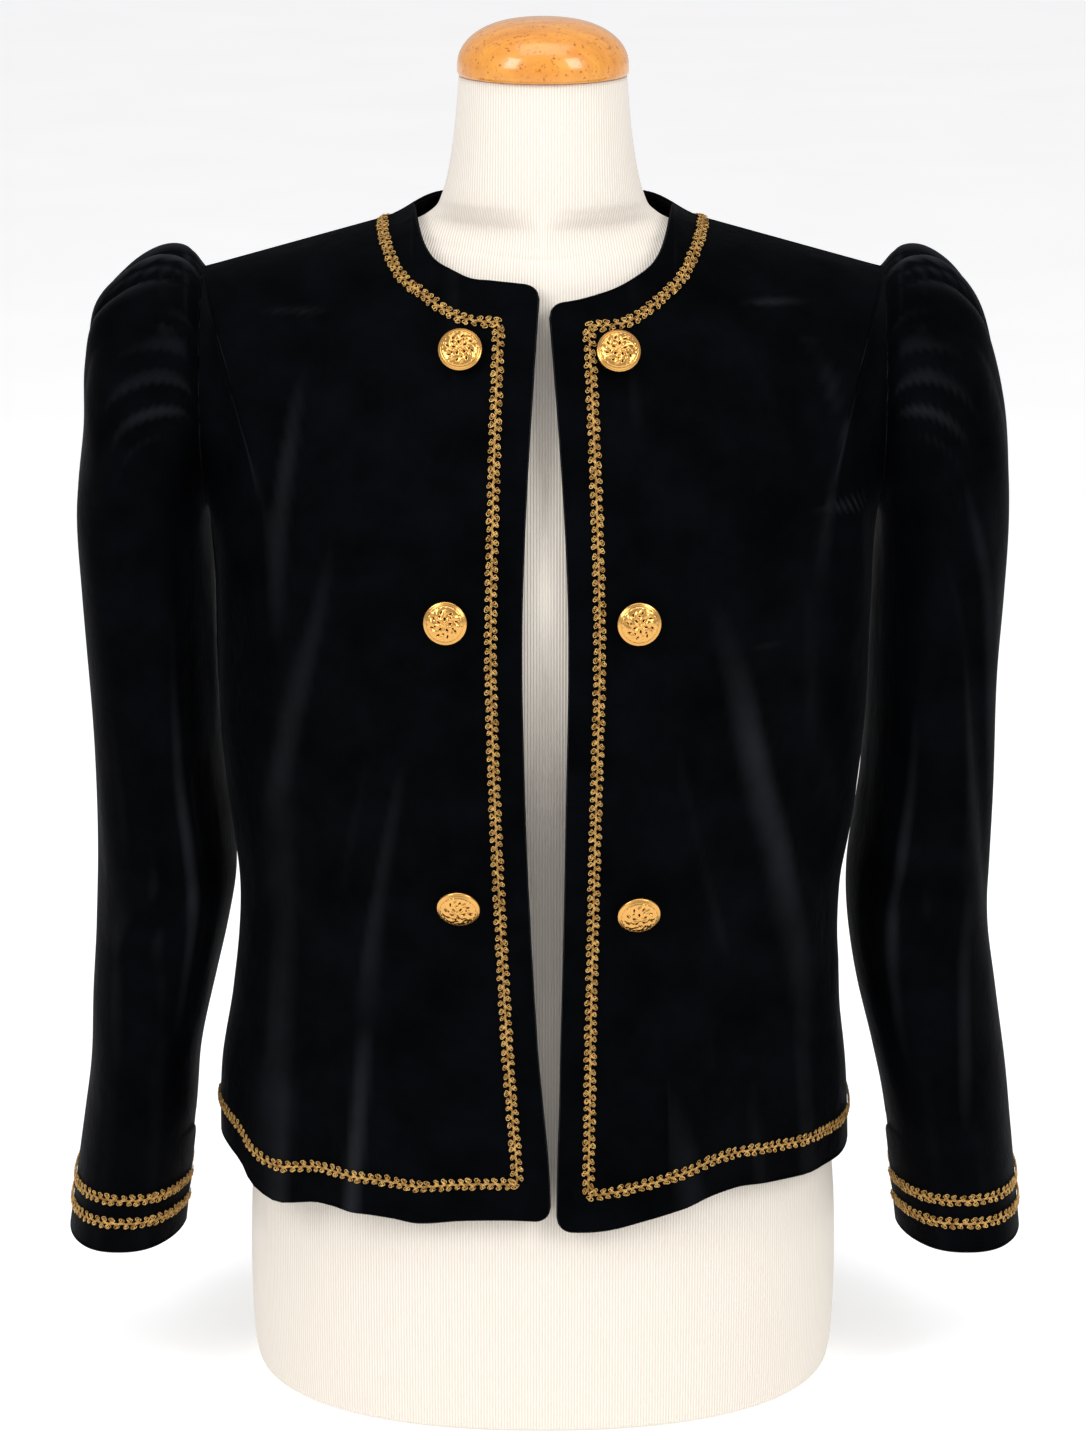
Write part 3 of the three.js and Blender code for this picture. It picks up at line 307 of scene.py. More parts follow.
# Folds: side, x and level of the upper end, x and level of the lower end, sideways bow, half width,
# height.
front_folds = np.array([
    (-1, 138, 650, 184, 400, 10, 17, -4.5), (-1, 137, 530, 157, 125, 2, 19, 7),
    (-1, 80, 470, 108, 150, 4, 19, 3), (1, 126, 655, 168, 545, 4, 16, -4),
    (1, 96, 500, 160, 225, 0, 17, 7), (1, 124, 470, 176, 260, 0, 15, -4),
    (1, 70, 230, 92, 110, 0, 17, 3.5),
    (-1, 128, 655, 150, 470, 6, 9, 1.5), (-1, 112, 560, 168, 330, -6, 10, 1.4),
    (-1, 85, 420, 112, 260, 3, 8, -1.6), (-1, 150, 330, 172, 120, 3, 8, -2.2),
    (-1, 126, 260, 136, 110, 0, 7, -1.4), (-1, 60, 300, 70, 110, 2, 12, -1.2),
    (-1, 100, 250, 112, 110, 0, 7, 2.0), (-1, 163, 235, 173, 110, 0, 5, 2.6),
    (-1, 158, 225, 163, 110, 0, 4, 1.8), (-1, 146, 215, 151, 110, 0, 4.5, 2.2),
    (1, 150, 640, 182, 470, 8, 8, 1.6), (1, 108, 600, 146, 420, 4, 10, -1.6),
    (1, 84, 440, 128, 250, -3, 9, -1.8), (1, 140, 300, 158, 120, 2, 8, 1.8),
    (1, 48, 300, 60, 110, -2, 12, -1.2), (1, 104, 260, 120, 110, 0, 8, -1.5),
    (1, 166, 240, 172, 110, 0, 6, -1.4)])
back_folds = np.array([
    (-1, 96, 640, 112, 120, -8, 20, -4.0), (1, 104, 650, 96, 120, -6, 21, -3.6),
    (-1, 40, 430, 58, 120, 5, 18, 4.0), (1, 36, 410, 52, 120, -4, 19, 3.4),
    (-1, 150, 560, 136, 260, 5, 12, -2.4), (1, 152, 540, 140, 240, 4, 12, -2.2),
    (-1, 24, 330, 30, 120, 2, 10, -1.8), (1, 80, 360, 92, 120, 3, 11, 2.0),
    (-1, 120, 300, 134, 115, 2, 10, 2.2), (1, 128, 290, 146, 115, 3, 10, 2.4),
    (-1, 66, 660, 52, 520, -4, 13, -1.6), (1, 68, 660, 54, 540, 4, 13, -1.5)])
# Folds whose lower end is below this level run out through the hem.
fold_foot = 160
cloth, edge_round = 1.8, 0.4
panel_ripple, upper_fade, side_fade = 0.28, 0.05, 0.03
# Outward bend of panels and sleeves, in 1/mm, at which a painted sheen starts to lighten the velvet's
# colour and is strongest, and the shortest step over which the bend is taken.
panel_sheen_bend, sleeve_sheen_bend, crest_step = (0.012, 0.09), (0.034, 0.16), 3


def unit(vectors):
    """The vectors at length 1."""
    return vectors / np.maximum(np.linalg.norm(vectors, axis=-1, keepdims=True), 1e-9)


def ease(t):
    """A share that starts and stops gently: t^2 (3 - 2 t)."""
    return t**2 * (3 - 2 * t)


def body_point(side, turn, level):
    """A point of the body ring: an oval whose half width is that side's; turn 0 is the front."""
    right, left, front, back = [read_off(body_rings, k, level) for k in range(1, 5)]
    half, depth = np.where(side < 0, right, left), np.where(np.cos(turn) > 0, front, back)
    radius = oval(turn, half, depth, body_square)
    return np.stack(np.broadcast_arrays(side * radius * np.sin(turn), -radius * np.cos(turn), level), -1)


def column_turn(front, side, share, level):
    """The angle of a panel's column: from the front edge or the middle of the back at share 0 to just
    short of the side seam at share 1."""
    reach = read_off(reaches, 1, share)
    last = pi / 2 - seam / 2 / body_half
    if not front:
        return pi - last * reach
    edge = np.where(side < 0, read_off(front_edges, 1, level), read_off(front_edges, 2, level))
    start = np.arctan2(edge, read_off(body_rings, 3, level))
    return start + (last - start) * reach


def upper_edge(front, side, share):
    """Where a column would end and how it runs there: along the shoulder line, which carries on over
    the neck, then round the armhole's oval."""
    forward = -1 if front else 1
    shift_y, shift_z, less_lean = front_shift if front else back_shift
    x = neck_spread * share + shoulder_spread * np.maximum(share - neck_share, 0)**2
    rise = neck_rise * ease(np.clip((neck_rise_from - x) / neck_rise_over, 0, 1))
    middle = np.maximum(1 - (share / neck_share)**2, 0)**2
    shoulder = shoulder_tip - neck_point
    line = neck_point + shoulder * ((x - neck_point[0]) / shoulder[0])[..., None]
    gap = forward * seam / 2 * np.minimum(share / neck_share, 1)
    line = line + np.stack([0 * x, shift_y * middle + gap, shift_z * middle + rise], -1)
    around = pi * np.clip((share - shoulder_share) / (1 - shoulder_share), 0, 1)
    hole = np.stack([shoulder_tip[0] + 0 * x, forward * (armhole_reach * np.sin(around) + seam / 2),
                     armhole_middle + armhole_rise * np.cos(around)], -1)
    on_hole = share > shoulder_share
    point = np.where(on_hole[..., None], hole, line)
    lean = np.where(on_hole, shoulder_lean * np.cos(around / 2)**4, shoulder_lean - less_lean * middle)
    run = np.stack([np.where(on_hole, side * armhole_out * np.sin(around), 0), -forward * lean,
                    np.sqrt(1 - lean**2)], -1)
    point[..., 0] *= side
    return point, unit(run)


def rounding(distance):
    """How far an edge gives way at a corner that is rounded with a quarter circle."""
    left = np.clip(1 - distance / corner_round, 0, 1)
    return corner_round * (1 - np.sqrt(1 - left**2))


def neck_cut(column, share):
    """How much of its column a share of a panel keeps below the neckline; column 1 is the right front,
    2 the left front and 3 the back."""
    cut = np.choose(column - 1, [read_off(neck_cuts, k, share) for k in (1, 2, 3)])
    cut = cut - np.where(column < 3, rounding(neck_spread * share) / column_length, 0)
    return np.where(share < neck_share, cut, 1)


def panel_point(front, side, share, row):
    """Rows 0 to 1 climb the body rings from the hem to the chest. Rows 1 to 2 are cubic curves from
    there to the upper edge, cut off at the neckline."""
    column = np.where(side < 0, 1, 2) if front else np.full(side.shape, 3)
    reach = read_off(reaches, 1, share)
    hem = np.choose(column - 1, [read_off(hems, k, reach) for k in (1, 2, 3)])
    if front:
        hem = hem + rounding(hem_spread * share)
    level = hem + (chest_level - hem) * np.minimum(row, 1)
    lower = body_point(side, column_turn(front, side, share, level), level)
    chest = np.full(share.shape, float(chest_level))
    start = body_point(side, column_turn(front, side, share, chest), chest)
    climb = start - body_point(side, column_turn(front, side, share, chest - 1), chest - 1)
    end, run = upper_edge(front, side, share)
    reach = np.linalg.norm(end - start, axis=-1, keepdims=True)
    t = (np.maximum(row - 1, 0) * neck_cut(column, share))[..., None]
    upper = cubic(t, start, reach * climb, end, reach * run)
    return np.where((row > 1)[..., None], upper, lower)


def fold_height(folds, side, x, level):
    """Sum of soft ridges and troughs: each is a bell across, and fades out at its upper end and, unless
    it runs out through the hem, at its lower end too."""
    total = np.zeros(x.shape)
    for fold_side, x0, z0, x1, z1, bow, width, height in folds:
        t = np.clip((z0 - level) / (z0 - z1), 0, 1)
        middle = x0 + (x1 - x0) * t + bow * 4 * t * (1 - t)
        below, reach = (1, 0.5) if z1 < fold_foot else (0, 1)
        fade = np.where(level < z1, below, np.sin(pi * t * reach)**0.7)
        total += height * bell(x * side - middle, width) * (side == fold_side) * fade
    return total


def ripple(points, size):
    """Faint unevenness of hanging cloth: a sum of slow waves along and across it."""
    x, y, z = np.moveaxis(points, -1, 0)
    return size * (np.sin(x / 13 + np.sin(z / 47) * 2.1) * np.sin(z / 61 + x / 90 + 1.3)
                   + 0.7 * np.sin(x / 7.1 + y / 9 + z / 73 + 0.5) * np.sin(z / 29 + 2.2))


def wrapped(grid):
    """The grid of a tube, carried on by two columns past its first and its last, which are the same."""
    return np.concatenate([grid[:, -3:-1], grid, grid[:, 1:3]], 1)


def grid_normals(grid, outward, ring=False):
    """Normals of a grid of points: the cross product of its two directions, turned outward."""
    across = np.gradient(wrapped(grid), axis=1)[:, 2:-2] if ring else np.gradient(grid, axis=1)
    return unit(outward * np.cross(across, np.gradient(grid, axis=0)))


def ridge_sheen_share(laid):
    """How strongly the cloth bends outward at each point, from 0 on flat cloth to 1 on a sharp ridge,
    which sets how much painted sheen lightens the velvet there: the second difference of the points,
    taken against the normal, over the square of the step."""
    ring = "welded" in laid
    strongest = 0
    for axis in (0, 1):
        wide = [(2, 2) if k == axis else (0, 0) for k in range(3)]
        grid = wrapped(laid["grid"]) if ring and axis else np.pad(
            laid["grid"], wide, mode="reflect", reflect_type="odd")
        before, after = (grid[:-4], grid[4:]) if axis == 0 else (grid[:, :-4], grid[:, 4:])
        step = np.maximum(np.linalg.norm(after - before, axis=-1) / 2, crest_step)
        bend = ((2 * laid["grid"] - before - after) * laid["normals"]).sum(-1) / step**2
        strongest = np.maximum(strongest, bend)
    start, full = sleeve_sheen_bend if ring else panel_sheen_bend
    return np.clip((strongest - start) / (full - start), 0, 1)


def shell(name, laid):
    """A closed wall of velvet on the inside of a grid of points, with rounded edges. A welded row's last
    point is its first, so that the cloth is a tube there. A point attribute says where the outside
    bends outward; the velvet's colour is lightened there as a painted sheen."""
    grid, normals, outward, welded = [laid.get(key) for key in ("grid", "normals", "outward", "welded")]
    rows, columns = grid.shape[:2]
    ids = np.arange(rows * columns).reshape(rows, columns)
    rims = [np.concatenate([ids[0, :-1], ids[:-1, -1], ids[-1, :0:-1], ids[:0:-1, 0]])]
    if welded is not None:
        ids[welded, -1] = ids[welded, 0]
        last = np.flatnonzero(welded)[-1]
        rims = [ids[0, :-1][::-1], np.concatenate([ids[last:-1, 0], ids[-1, :-1], ids[:last:-1, -1]])]
    outer, away = grid.reshape(-1, 3), normals.reshape(-1, 3)
    inner = outer - away * cloth
    points, faces = [outer, inner], [cells(ids), cells(ids)[:, ::-1] + len(outer)]
    start = 2 * len(outer)
    for rim in rims:
        along = np.roll(outer[rim], -1, 0) - np.roll(outer[rim], 1, 0)
        sign = outward * (1 if welded is None else -1)
        out = unit(sign * np.cross(along, away[rim]))
        points.append((outer[rim] + inner[rim]) / 2 + out * cloth * edge_round)
        edge = np.stack([rim, start + np.arange(len(rim)), rim + len(outer)])
        start += len(rim)
        edge = np.concatenate([edge, edge[:, :1]], 1)
        faces.append(cells(edge) if welded is None else cells(edge)[:, ::-1])
    used, quads = np.unique(np.concatenate(faces), return_inverse=True)
    points, quads = np.concatenate(points)[used], quads.reshape(-1, 4)
    ridge_sheen_and_hollow_tone = np.zeros(start, np.float32)
    ridge_sheen_and_hollow_tone[:len(outer)] = ridge_sheen_share(laid).ravel()
    a, b, c, d = [points[quads[:, k]] for k in range(4)]
    volume = (np.cross(b, c) * a).sum() + (np.cross(c, d) * a).sum()
    if volume < 0:
        quads = quads[:, ::-1]
    made = add_mesh(name, points, [quads], velvet)
    made.data.attributes.new("painted_ridge_sheen", "FLOAT", "POINT").data.foreach_set("value", ridge_sheen_and_hollow_tone[used])
    return made


def lay_panel(front, side, columns, rows, folds):
    """A panel's outer points and normals. At the shoulder and side seams the wall's edge is square to
    the seam, so its normal has no front-to-back share."""
    share, row = np.meshgrid(columns, rows)
    sides = np.where(share < 0, -1, 1) * side
    size = np.abs(share)
    outward = side * (1 if front else -1)
    grid = panel_point(front, sides, size, row)
    first = grid_normals(grid, outward)
    edge_fade = np.clip((2 - row) / upper_fade, 0, 1) * np.clip((1 - size) / side_fade, 0, 1)
    lift = fold_height(folds, sides, grid[..., 0], grid[..., 2]) + ripple(grid, panel_ripple)
    grid = grid + first * (lift * edge_fade)[..., None]
    normals = grid_normals(grid, outward)
    at_seam = (size == 1) | ((row == 2) & (size >= neck_share) & (size <= shoulder_share))
    normals[..., 1] = np.where(at_seam, 0, normals[..., 1])
    return {"columns": columns, "rows": rows, "grid": grid, "normals": unit(normals), "outward": outward}


velvet, velvet_nodes, velvet_shader = material(
    "black_silk_velvet", Roughness=0.6, Sheen_Weight=0.07, Sheen_Roughness=0.2,
    Sheen_Tint=(0.50, 0.53, 0.60, 1), Specular_IOR_Level=0.012)
velvet_place = node(velvet_nodes, "TexCoord", {}).outputs["Object"]
velvet_nap = noise(velvet_nodes, velvet_place, 26.0, 5.0, 0.6)
velvet_pile = noise(velvet_nodes, velvet_place, 1900.0, 2.0, 0.7)
velvet_colour = blend_colours(velvet_nodes, velvet_nap, (0.0003, 0.0004, 0.0007), (0.0015, 0.0018, 0.0026))
# Painted sheen: ridges of the cloth get a light grey base colour, stronger where the nap noise is high.
velvet_ridge_sheen = node(velvet_nodes, "Attribute", {}, attribute_name="painted_ridge_sheen").outputs["Fac"]
velvet_sheen_share = maths(velvet_nodes, "MULTIPLY", velvet_ridge_sheen, maths(velvet_nodes, "ADD", velvet_nap, 0.35))
velvet_colour_and_sheen = node(velvet_nodes, "Mix", {0: velvet_sheen_share, 6: velvet_colour, 7: (0.022, 0.023, 0.027, 1)},
                  data_type="RGBA")
velvet_nodes.links.new(velvet_colour_and_sheen.outputs[2], velvet_shader.inputs["Base Color"])
nap_bump = bump(velvet_nodes, velvet_shader, velvet_nap, 0.006, 0.4)
bump(velvet_nodes, velvet_shader, velvet_pile, 0.0004, 0.6, under=nap_bump)

front_columns = stretches((0, 0.06, 10), (0.06, 0.36, 30), (0.36, 0.44, 14), (0.44, 1, 38)).round(6)
front_rows = stretches((0, 1, 118), (1, 2, 97))
back_half = stretches((0, 0.36, 25), (0.36, 0.44, 9), (0.44, 1, 32)).round(6)
back_columns = np.concatenate([-back_half[:0:-1], back_half])
back_rows = stretches((0, 1, 95), (1, 2, 95))
panels = {
    "right": lay_panel(True, -1, front_columns, front_rows, front_folds),
    "left": lay_panel(True, 1, front_columns, front_rows, front_folds),
    "back": lay_panel(False, 1, back_columns, back_rows, back_folds)}
# Columns: panel, node, flat width and length in metres, flat area in square metres.
panel_cuts = (("right", "front_right", 0.275, 0.60, 0.137), ("left", "front_left", 0.275, 0.60, 0.137),
              ("back", "back", 0.50, 0.60, 0.262))
for panel, cad_node, cut_width, cut_length, cut_area in panel_cuts:
    piece = shell("jacket_" + cad_node, panels[panel])
    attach(piece, "root")
    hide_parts(cad_node)

# Sleeves: one-piece velvet sleeves, their heads gathered into the armholes so that they puff up, the
# elbows slightly bent, and each cuff open at a short lapped vent on its inner side.
# Columns: inner x and level, outer x and level, half the front-to-back size, its middle, turn in
# degrees, exponent of the section, height of the gathers and of the fine gathers, how much farther
# out the inner and the outer point lie on the wearer's right.
sleeve_rings = np.array([
    (193.5, 530, 193.5, 668, 58, 0, 0, 2, 0.6, 0.5, 0, 0),
    (194.5, 527, 203, 677, 63, -1, 0, 2, 2.5, 1.2, 0, 0),
    (194.8, 522, 217, 677, 67, -2, 1, 2.1, 3, 1.3, 0, 0.5),
    (195, 515, 233, 667, 69, -3, 3, 2.2, 2.7, 1, 0, 2.5),
    (195, 505, 246.5, 648, 70, -4, 5, 2.3, 2.1, 0.6, 0, 6),
    (194.8, 490, 254.5, 621, 70, -5, 7, 2.4, 1.3, 0.3, 0, 3),
    (194.5, 468, 261, 586, 69, -6, 8, 2.5, 0.6, 0.1, 0, -2),
    (194.2, 438, 264, 540, 67, -6, 9, 2.5, 0.2, 0, 0, 0),
    (193.5, 404, 262.5, 486, 66, -5, 9, 2.5, 0, 0, 0, 0),
    (191.5, 369, 259.5, 428, 65, -3, 10, 2.5, 0, 0, 0, 0), (187, 334, 259, 371, 64, 0, 10, 2.5, 0, 0, 0, 0),
    (183.2, 303, 260, 323, 63, 2, 9, 2.4, 0, 0, 2, 0), (183.5, 273, 261.5, 283, 62.5, 2, 7, 2.4, 0, 0, 6, 1),
    (188.5, 238, 267.8, 243, 62, 0, 5, 2.4, 0, 0, 8.5, -2),
    (198, 198, 274.5, 200, 62, -3, 2, 2.3, 0, 0, 7.5, -6),
    (205.5, 160, 279.5, 161, 62, -4, 0, 2.3, 0, 0, 3, -5),
    (214, 92, 287, 92, 62, -5, 0, 2.3, 0, 0, 2.5, -2)])
gathers, fine_gathers, gather_skew = 13, 29, 0.1
vent_seam, vent_lap, vent_split = radians(-165), radians(8), 1.7
cuff_ring, vent_ring, vent_full_ring, split_rings = 15, 15.06, 15.2, 0.06
vent_pull, lap_gap = 0.09, radians(0.4)
sleeve_ripple, head_fade = 0.3, 0.6
sleeve_columns = 168
# Folds: side, first and last ring, angle in degrees at each, half width in degrees, height.
sleeve_folds = np.array([
    (-1, 3.5, 13.5, -138, -132, 9, 3.2), (-1, 4, 12.5, -112, -116, 12, -1.8),
    (-1, 5, 11, -60, -84, 16, 1.8), (-1, 8, 14, -30, -58, 12, -1.2), (-1, 10, 12.6, -150, -60, 16, -1.4),
    (-1, 5, 13, 60, 84, 15, 2.2), (-1, 9, 13, 150, 96, 13, -2.0), (-1, 11, 16, 60, 50, 14, 1.2),
    (1, 3, 12, -128, -34, 8, -3.0), (1, 3.6, 11.5, -108, -22, 10, 2.2), (1, 6, 14, -132, -128, 10, 2.4),
    (1, 11, 15, -60, -84, 12, 1.6), (1, 10, 12.6, -146, -90, 14, -1.4), (1, 5, 13, 62, 86, 15, 2.2),
    (1, 9, 13, 146, 98, 13, -2.0), (1, 11, 16, 56, 46, 14, 1.2)])


def ring_point(side, ring, angle, out):
    """A point of a sleeve's slanted oval ring, moved out by a height; -90 degrees is the front."""
    in_x, in_z, out_x, out_z, depth, middle, turn, square = np.moveaxis(ring, -1, 0)[:8]
    in_x, out_x = [x + ring[..., k] * (side < 0) for x, k in ((in_x, 10), (out_x, 11))]
    radius = oval(angle + pi / 2, 1, 1, square)
    c, s = np.cos(angle) * radius, np.sin(angle) * radius
    half_x, half_z = (out_x - in_x) / 2, (out_z - in_z) / 2
    swell = 1 + out / np.hypot(half_x, half_z)
    dx, dy = half_x * c * swell, (depth + out) * s
    turn = np.radians(turn)
    return np.stack([side * ((out_x + in_x) / 2 + dx * np.cos(turn) - dy * np.sin(turn)),
                     middle + dx * np.sin(turn) + dy * np.cos(turn),
                     (out_z + in_z) / 2 + half_z * c * swell], -1)


def skewed(angle, ring):
    """The angle at the armhole of the crease that passes a ring at this angle: creases run towards the
    outer edge of the arm, by gather_skew for each ring."""
    return angle + gather_skew * ring * np.tanh(angle / 0.35)


def gather(angle, ring):
    """Round ridges with sharp creases between them over the sleeve head, none under the arm: the size of
    a cosine of the gathers round the armhole."""
    fade = np.maximum(0, np.cos(angle * 0.62))**0.8
    start = skewed(angle, ring)
    wave = np.abs(np.cos((gathers * start + 0.9 * np.sin(2 * start + 0.6)) / 2))
    return (2.2 * wave**0.8 - 1.3) * fade * (0.75 + 0.35 * np.sin(4.3 * start + 0.7 * ring + 1))


def fine_gather(angle, ring):
    """Narrower ridges between the main gathers, made in the same way, of uneven height."""
    fade = np.maximum(0, np.cos(angle * 0.6))**0.6
    start = skewed(angle, ring)
    wander = 2.4 * np.sin(3 * start + 1.1) + 0.9 * np.sin(7 * start)
    wave = np.abs(np.cos((fine_gathers * start + wander) / 2))
    return (2 * wave - 1.2) * fade * np.clip(0.45 + 0.75 * np.sin(5 * start + 2 + 0.5 * ring), 0, 1)


def lay_sleeve(side):
    """A sleeve's outer points and normals, ring by ring from the armhole to the cuff. Below the vent's
    top the last column lies under the first, and both reach past the seam."""
    rings = stretches((0, 3, 34), (3, 8, 38), (8, cuff_ring, 56), (cuff_ring, vent_ring, 3),
                      (vent_ring, vent_full_ring, 6), (vent_full_ring, 16, 22))
    share, at = np.meshgrid(np.linspace(0, 1, sleeve_columns + 1), rings)
    keys = np.arange(len(sleeve_rings))
    ring = np.stack([smooth(keys, values, at) for values in sleeve_rings.T], -1)
    base = vent_seam + 2 * pi * share
    turn = np.where(base > pi, base - 2 * pi, base)
    out = ring[..., 8] * gather(turn, at) + ring[..., 9] * fine_gather(turn, at)
    for fold_side, first, last, a0, a1, width, height in sleeve_folds:
        if fold_side != side:
            continue
        t = np.clip((at - first) / (last - first), 0, 1)
        middle = a0 + (a1 - a0) * t
        off = (np.degrees(turn) - middle + 180) % 360 - 180
        out = out + height * bell(off, width) * np.sin(pi * t)**0.8
    opening = np.clip((at - vent_ring) / (vent_full_ring - vent_ring), 0, 1)
    split = vent_split * np.clip((at - vent_ring) / split_rings, 0, 1)
    lap = np.where(at > vent_ring, -lap_gap + (vent_lap + lap_gap) * opening, 0)
    pull = ease(np.clip(1 - share / vent_pull, 0, 1)) - ease(np.clip(1 - (1 - share) / vent_pull, 0, 1))
    grid = ring_point(side, ring, base - lap * pull, out + split * pull)
    fade = np.clip(at / head_fade, 0, 1) * np.clip(cuff_ring - at, 0, 1)
    welded = rings <= vent_ring
    outward = -side
    first = grid_normals(grid, outward, True)
    grid = grid + first * (ripple(grid, sleeve_ripple) * fade)[..., None]
    normals = np.where(welded[:, None, None], grid_normals(grid, outward, True), grid_normals(grid, outward))
    normals[0, :, 0] = 0
    normals[0] = unit(normals[0])
    return {"rings": rings, "grid": grid, "normals": normals, "outward": outward, "welded": welded}


sleeves = {}
for name, side in (("right", -1), ("left", 1)):
    sleeves[name] = lay_sleeve(side)
    piece = shell("jacket_sleeve_" + name, sleeves[name])
    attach(piece, "root")
    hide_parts("sleeve_" + name)

# Gimp braid. Two cords wrapped in gilt thread, looped from side to side over a twisted pair of thinner
# ones, and sewn flat on the cloth round the neck, down the fronts, along the hem and on the cuffs.
loop_pitch, loop_back, loop_radius, loop_steps = 4.8, 1.7, 0.27, 17
# Columns: a looped cord's reach to the side it starts towards, its start as a share of the pitch, height.
looped_cords = ((3.35, 0, 0), (-2.7, 0.3, 0.3))
core_radius, core_reach, core_steps = 0.2, 0.45, 6
core_lift, core_swing = 0.5, 0.25
braid_lift, path_step, corner_soften = 0.95, 0.5, 5.0
neck_steps, front_steps, hem_steps, cuff_steps = 240, 400, 300, 400
# The neck braid's middle line from the shoulder seam to the front corner or the middle of the back.
# Columns: share of the panel's upper edge, how far up its column.
neck_braids = {
    "right": np.array([(0.484, 1), (0.476, 0.885), (0.436, 0.752), (0.348, 0.66), (0.268, 0.622),
                       (0.19, 0.622), (0.123, 0.63)]),
    "left": np.array([(0.484, 1), (0.468, 0.875), (0.424, 0.742), (0.344, 0.652), (0.264, 0.613),
                      (0.19, 0.613), (0.123, 0.622)]),
    "back": np.array([(0.484, 1), (0.462, 0.932), (0.4, 0.88), (0.28, 0.808), (0.14, 0.77), (0, 0.768)])}
panel_numbers = {"right": 1, "left": 2, "back": 3}
braid_column, braid_row = 0.123, 0.064

gimp, gimp_nodes, gimp_shader = material(
    "gilt_gimp", Metallic=0.75, Roughness=0.42, Specular_IOR_Level=0.5)
gimp_place = node(gimp_nodes, "TexCoord", {}).outputs["UV"]
gimp_split = node(gimp_nodes, "SeparateXYZ", {0: gimp_place})
gimp_slant = maths(gimp_nodes, "ADD", maths(gimp_nodes, "MULTIPLY", gimp_split.outputs["X"], 9000.0),
                   maths(gimp_nodes, "MULTIPLY", gimp_split.outputs["Y"], 3000.0))
gimp_thread = maths(gimp_nodes, "SINE", gimp_slant)
gimp_tone_and_shade_noise = noise(gimp_nodes, node(gimp_nodes, "TexCoord", {}).outputs["Object"], 420.0, 3.0, 0.65)
# Random patches from dark brown to light gold: partly the gilt's uneven tone, partly painted shade and
# highlight.
gimp_colour = blend_colours(gimp_nodes, gimp_tone_and_shade_noise, (0.30, 0.14, 0.03), (0.86, 0.56, 0.19), 0.36, 0.62)
gimp_nodes.links.new(gimp_colour, gimp_shader.inputs["Base Color"])
bump(gimp_nodes, gimp_shader, gimp_thread, 0.0001, 0.6)


def on_grid(laid, columns, rows):
    """Points and normals of a laid cloth at fractional column and row numbers of its grid."""
    i = np.clip(np.floor(columns).astype(int), 0, laid["grid"].shape[1] - 2)
    j = np.clip(np.floor(rows).astype(int), 0, laid["grid"].shape[0] - 2)
    u, v = (columns - i)[:, None], (rows - j)[:, None]
    mixed = []
    for grid in (laid["grid"], laid["normals"]):
        low = grid[j, i] * (1 - u) + grid[j, i + 1] * u
        high = grid[j + 1, i] * (1 - u) + grid[j + 1, i + 1] * u
        mixed.append(low * (1 - v) + high * v)
    return mixed[0], unit(mixed[1])


def on_panel(laid, shares, rows):
    """Points and normals of a panel at shares of its columns and rows."""
    return on_grid(laid, np.interp(shares, laid["columns"], np.arange(len(laid["columns"]))),
                   np.interp(rows, laid["rows"], np.arange(len(laid["rows"]))))


def neck_line(panel):
    """Shares and rows along the middle line of a panel's neck braid."""
    table = neck_braids[panel]
    steps = np.linspace(0, len(table) - 1, neck_steps)
    share, level = [smooth(np.arange(len(table)), values, steps) for values in table.T]
    return share, np.minimum(1 + level / neck_cut(np.full(neck_steps, panel_numbers[panel]), share), 2)


def between(at, gone, points):
    """Points at distances along a path, between those that it is given by."""
    return np.stack([np.interp(at, gone, points[:, k]) for k in range(3)], -1)


def even_path(points, normals):
    """The path at even steps, with its corners rounded by a moving average."""
    gone = np.concatenate([[0], np.cumsum(np.linalg.norm(np.diff(points, axis=0), axis=-1))])
    at = np.linspace(0, gone[-1], int(gone[-1] / path_step) + 1)
    both = np.stack([between(at, gone, points), between(at, gone, normals)])
    i = np.arange(len(at))
    count = np.minimum(np.minimum(i, i[::-1]), int(corner_soften / path_step) // 2)
    total = np.concatenate([np.zeros((2, 1, 3)), np.cumsum(both, axis=1)], 1)
    both = (total[:, i + count + 1] - total[:, i - count]) / (2 * count + 1)[None, :, None]
    return both[0], unit(both[1]), at


def tube(points, up, radius, sides):
    """A round cord along a path, its ends drawn in to a point; up is roughly square to the path."""
    along = unit(np.gradient(points, axis=0))
    up = unit(up - (up * along).sum(-1, keepdims=True) * along)
    across = np.cross(along, up)
    turns = angles(sides)
    grid = points[:, None] + radius * (np.cos(turns)[:, None] * up[:, None]
                                       + np.sin(turns)[:, None] * across[:, None])
    gone = np.cumsum(np.linalg.norm(np.gradient(points, axis=0), axis=-1))
    uv = np.stack(np.broadcast_arrays(gone[:, None], turns[None, :] * radius), -1).reshape(-1, 2)
    tips = [points[0] - along[0] * radius, points[-1] + along[-1] * radius]
    return *closed(grid, tips, True), np.concatenate([uv, uv[:2] * 0])


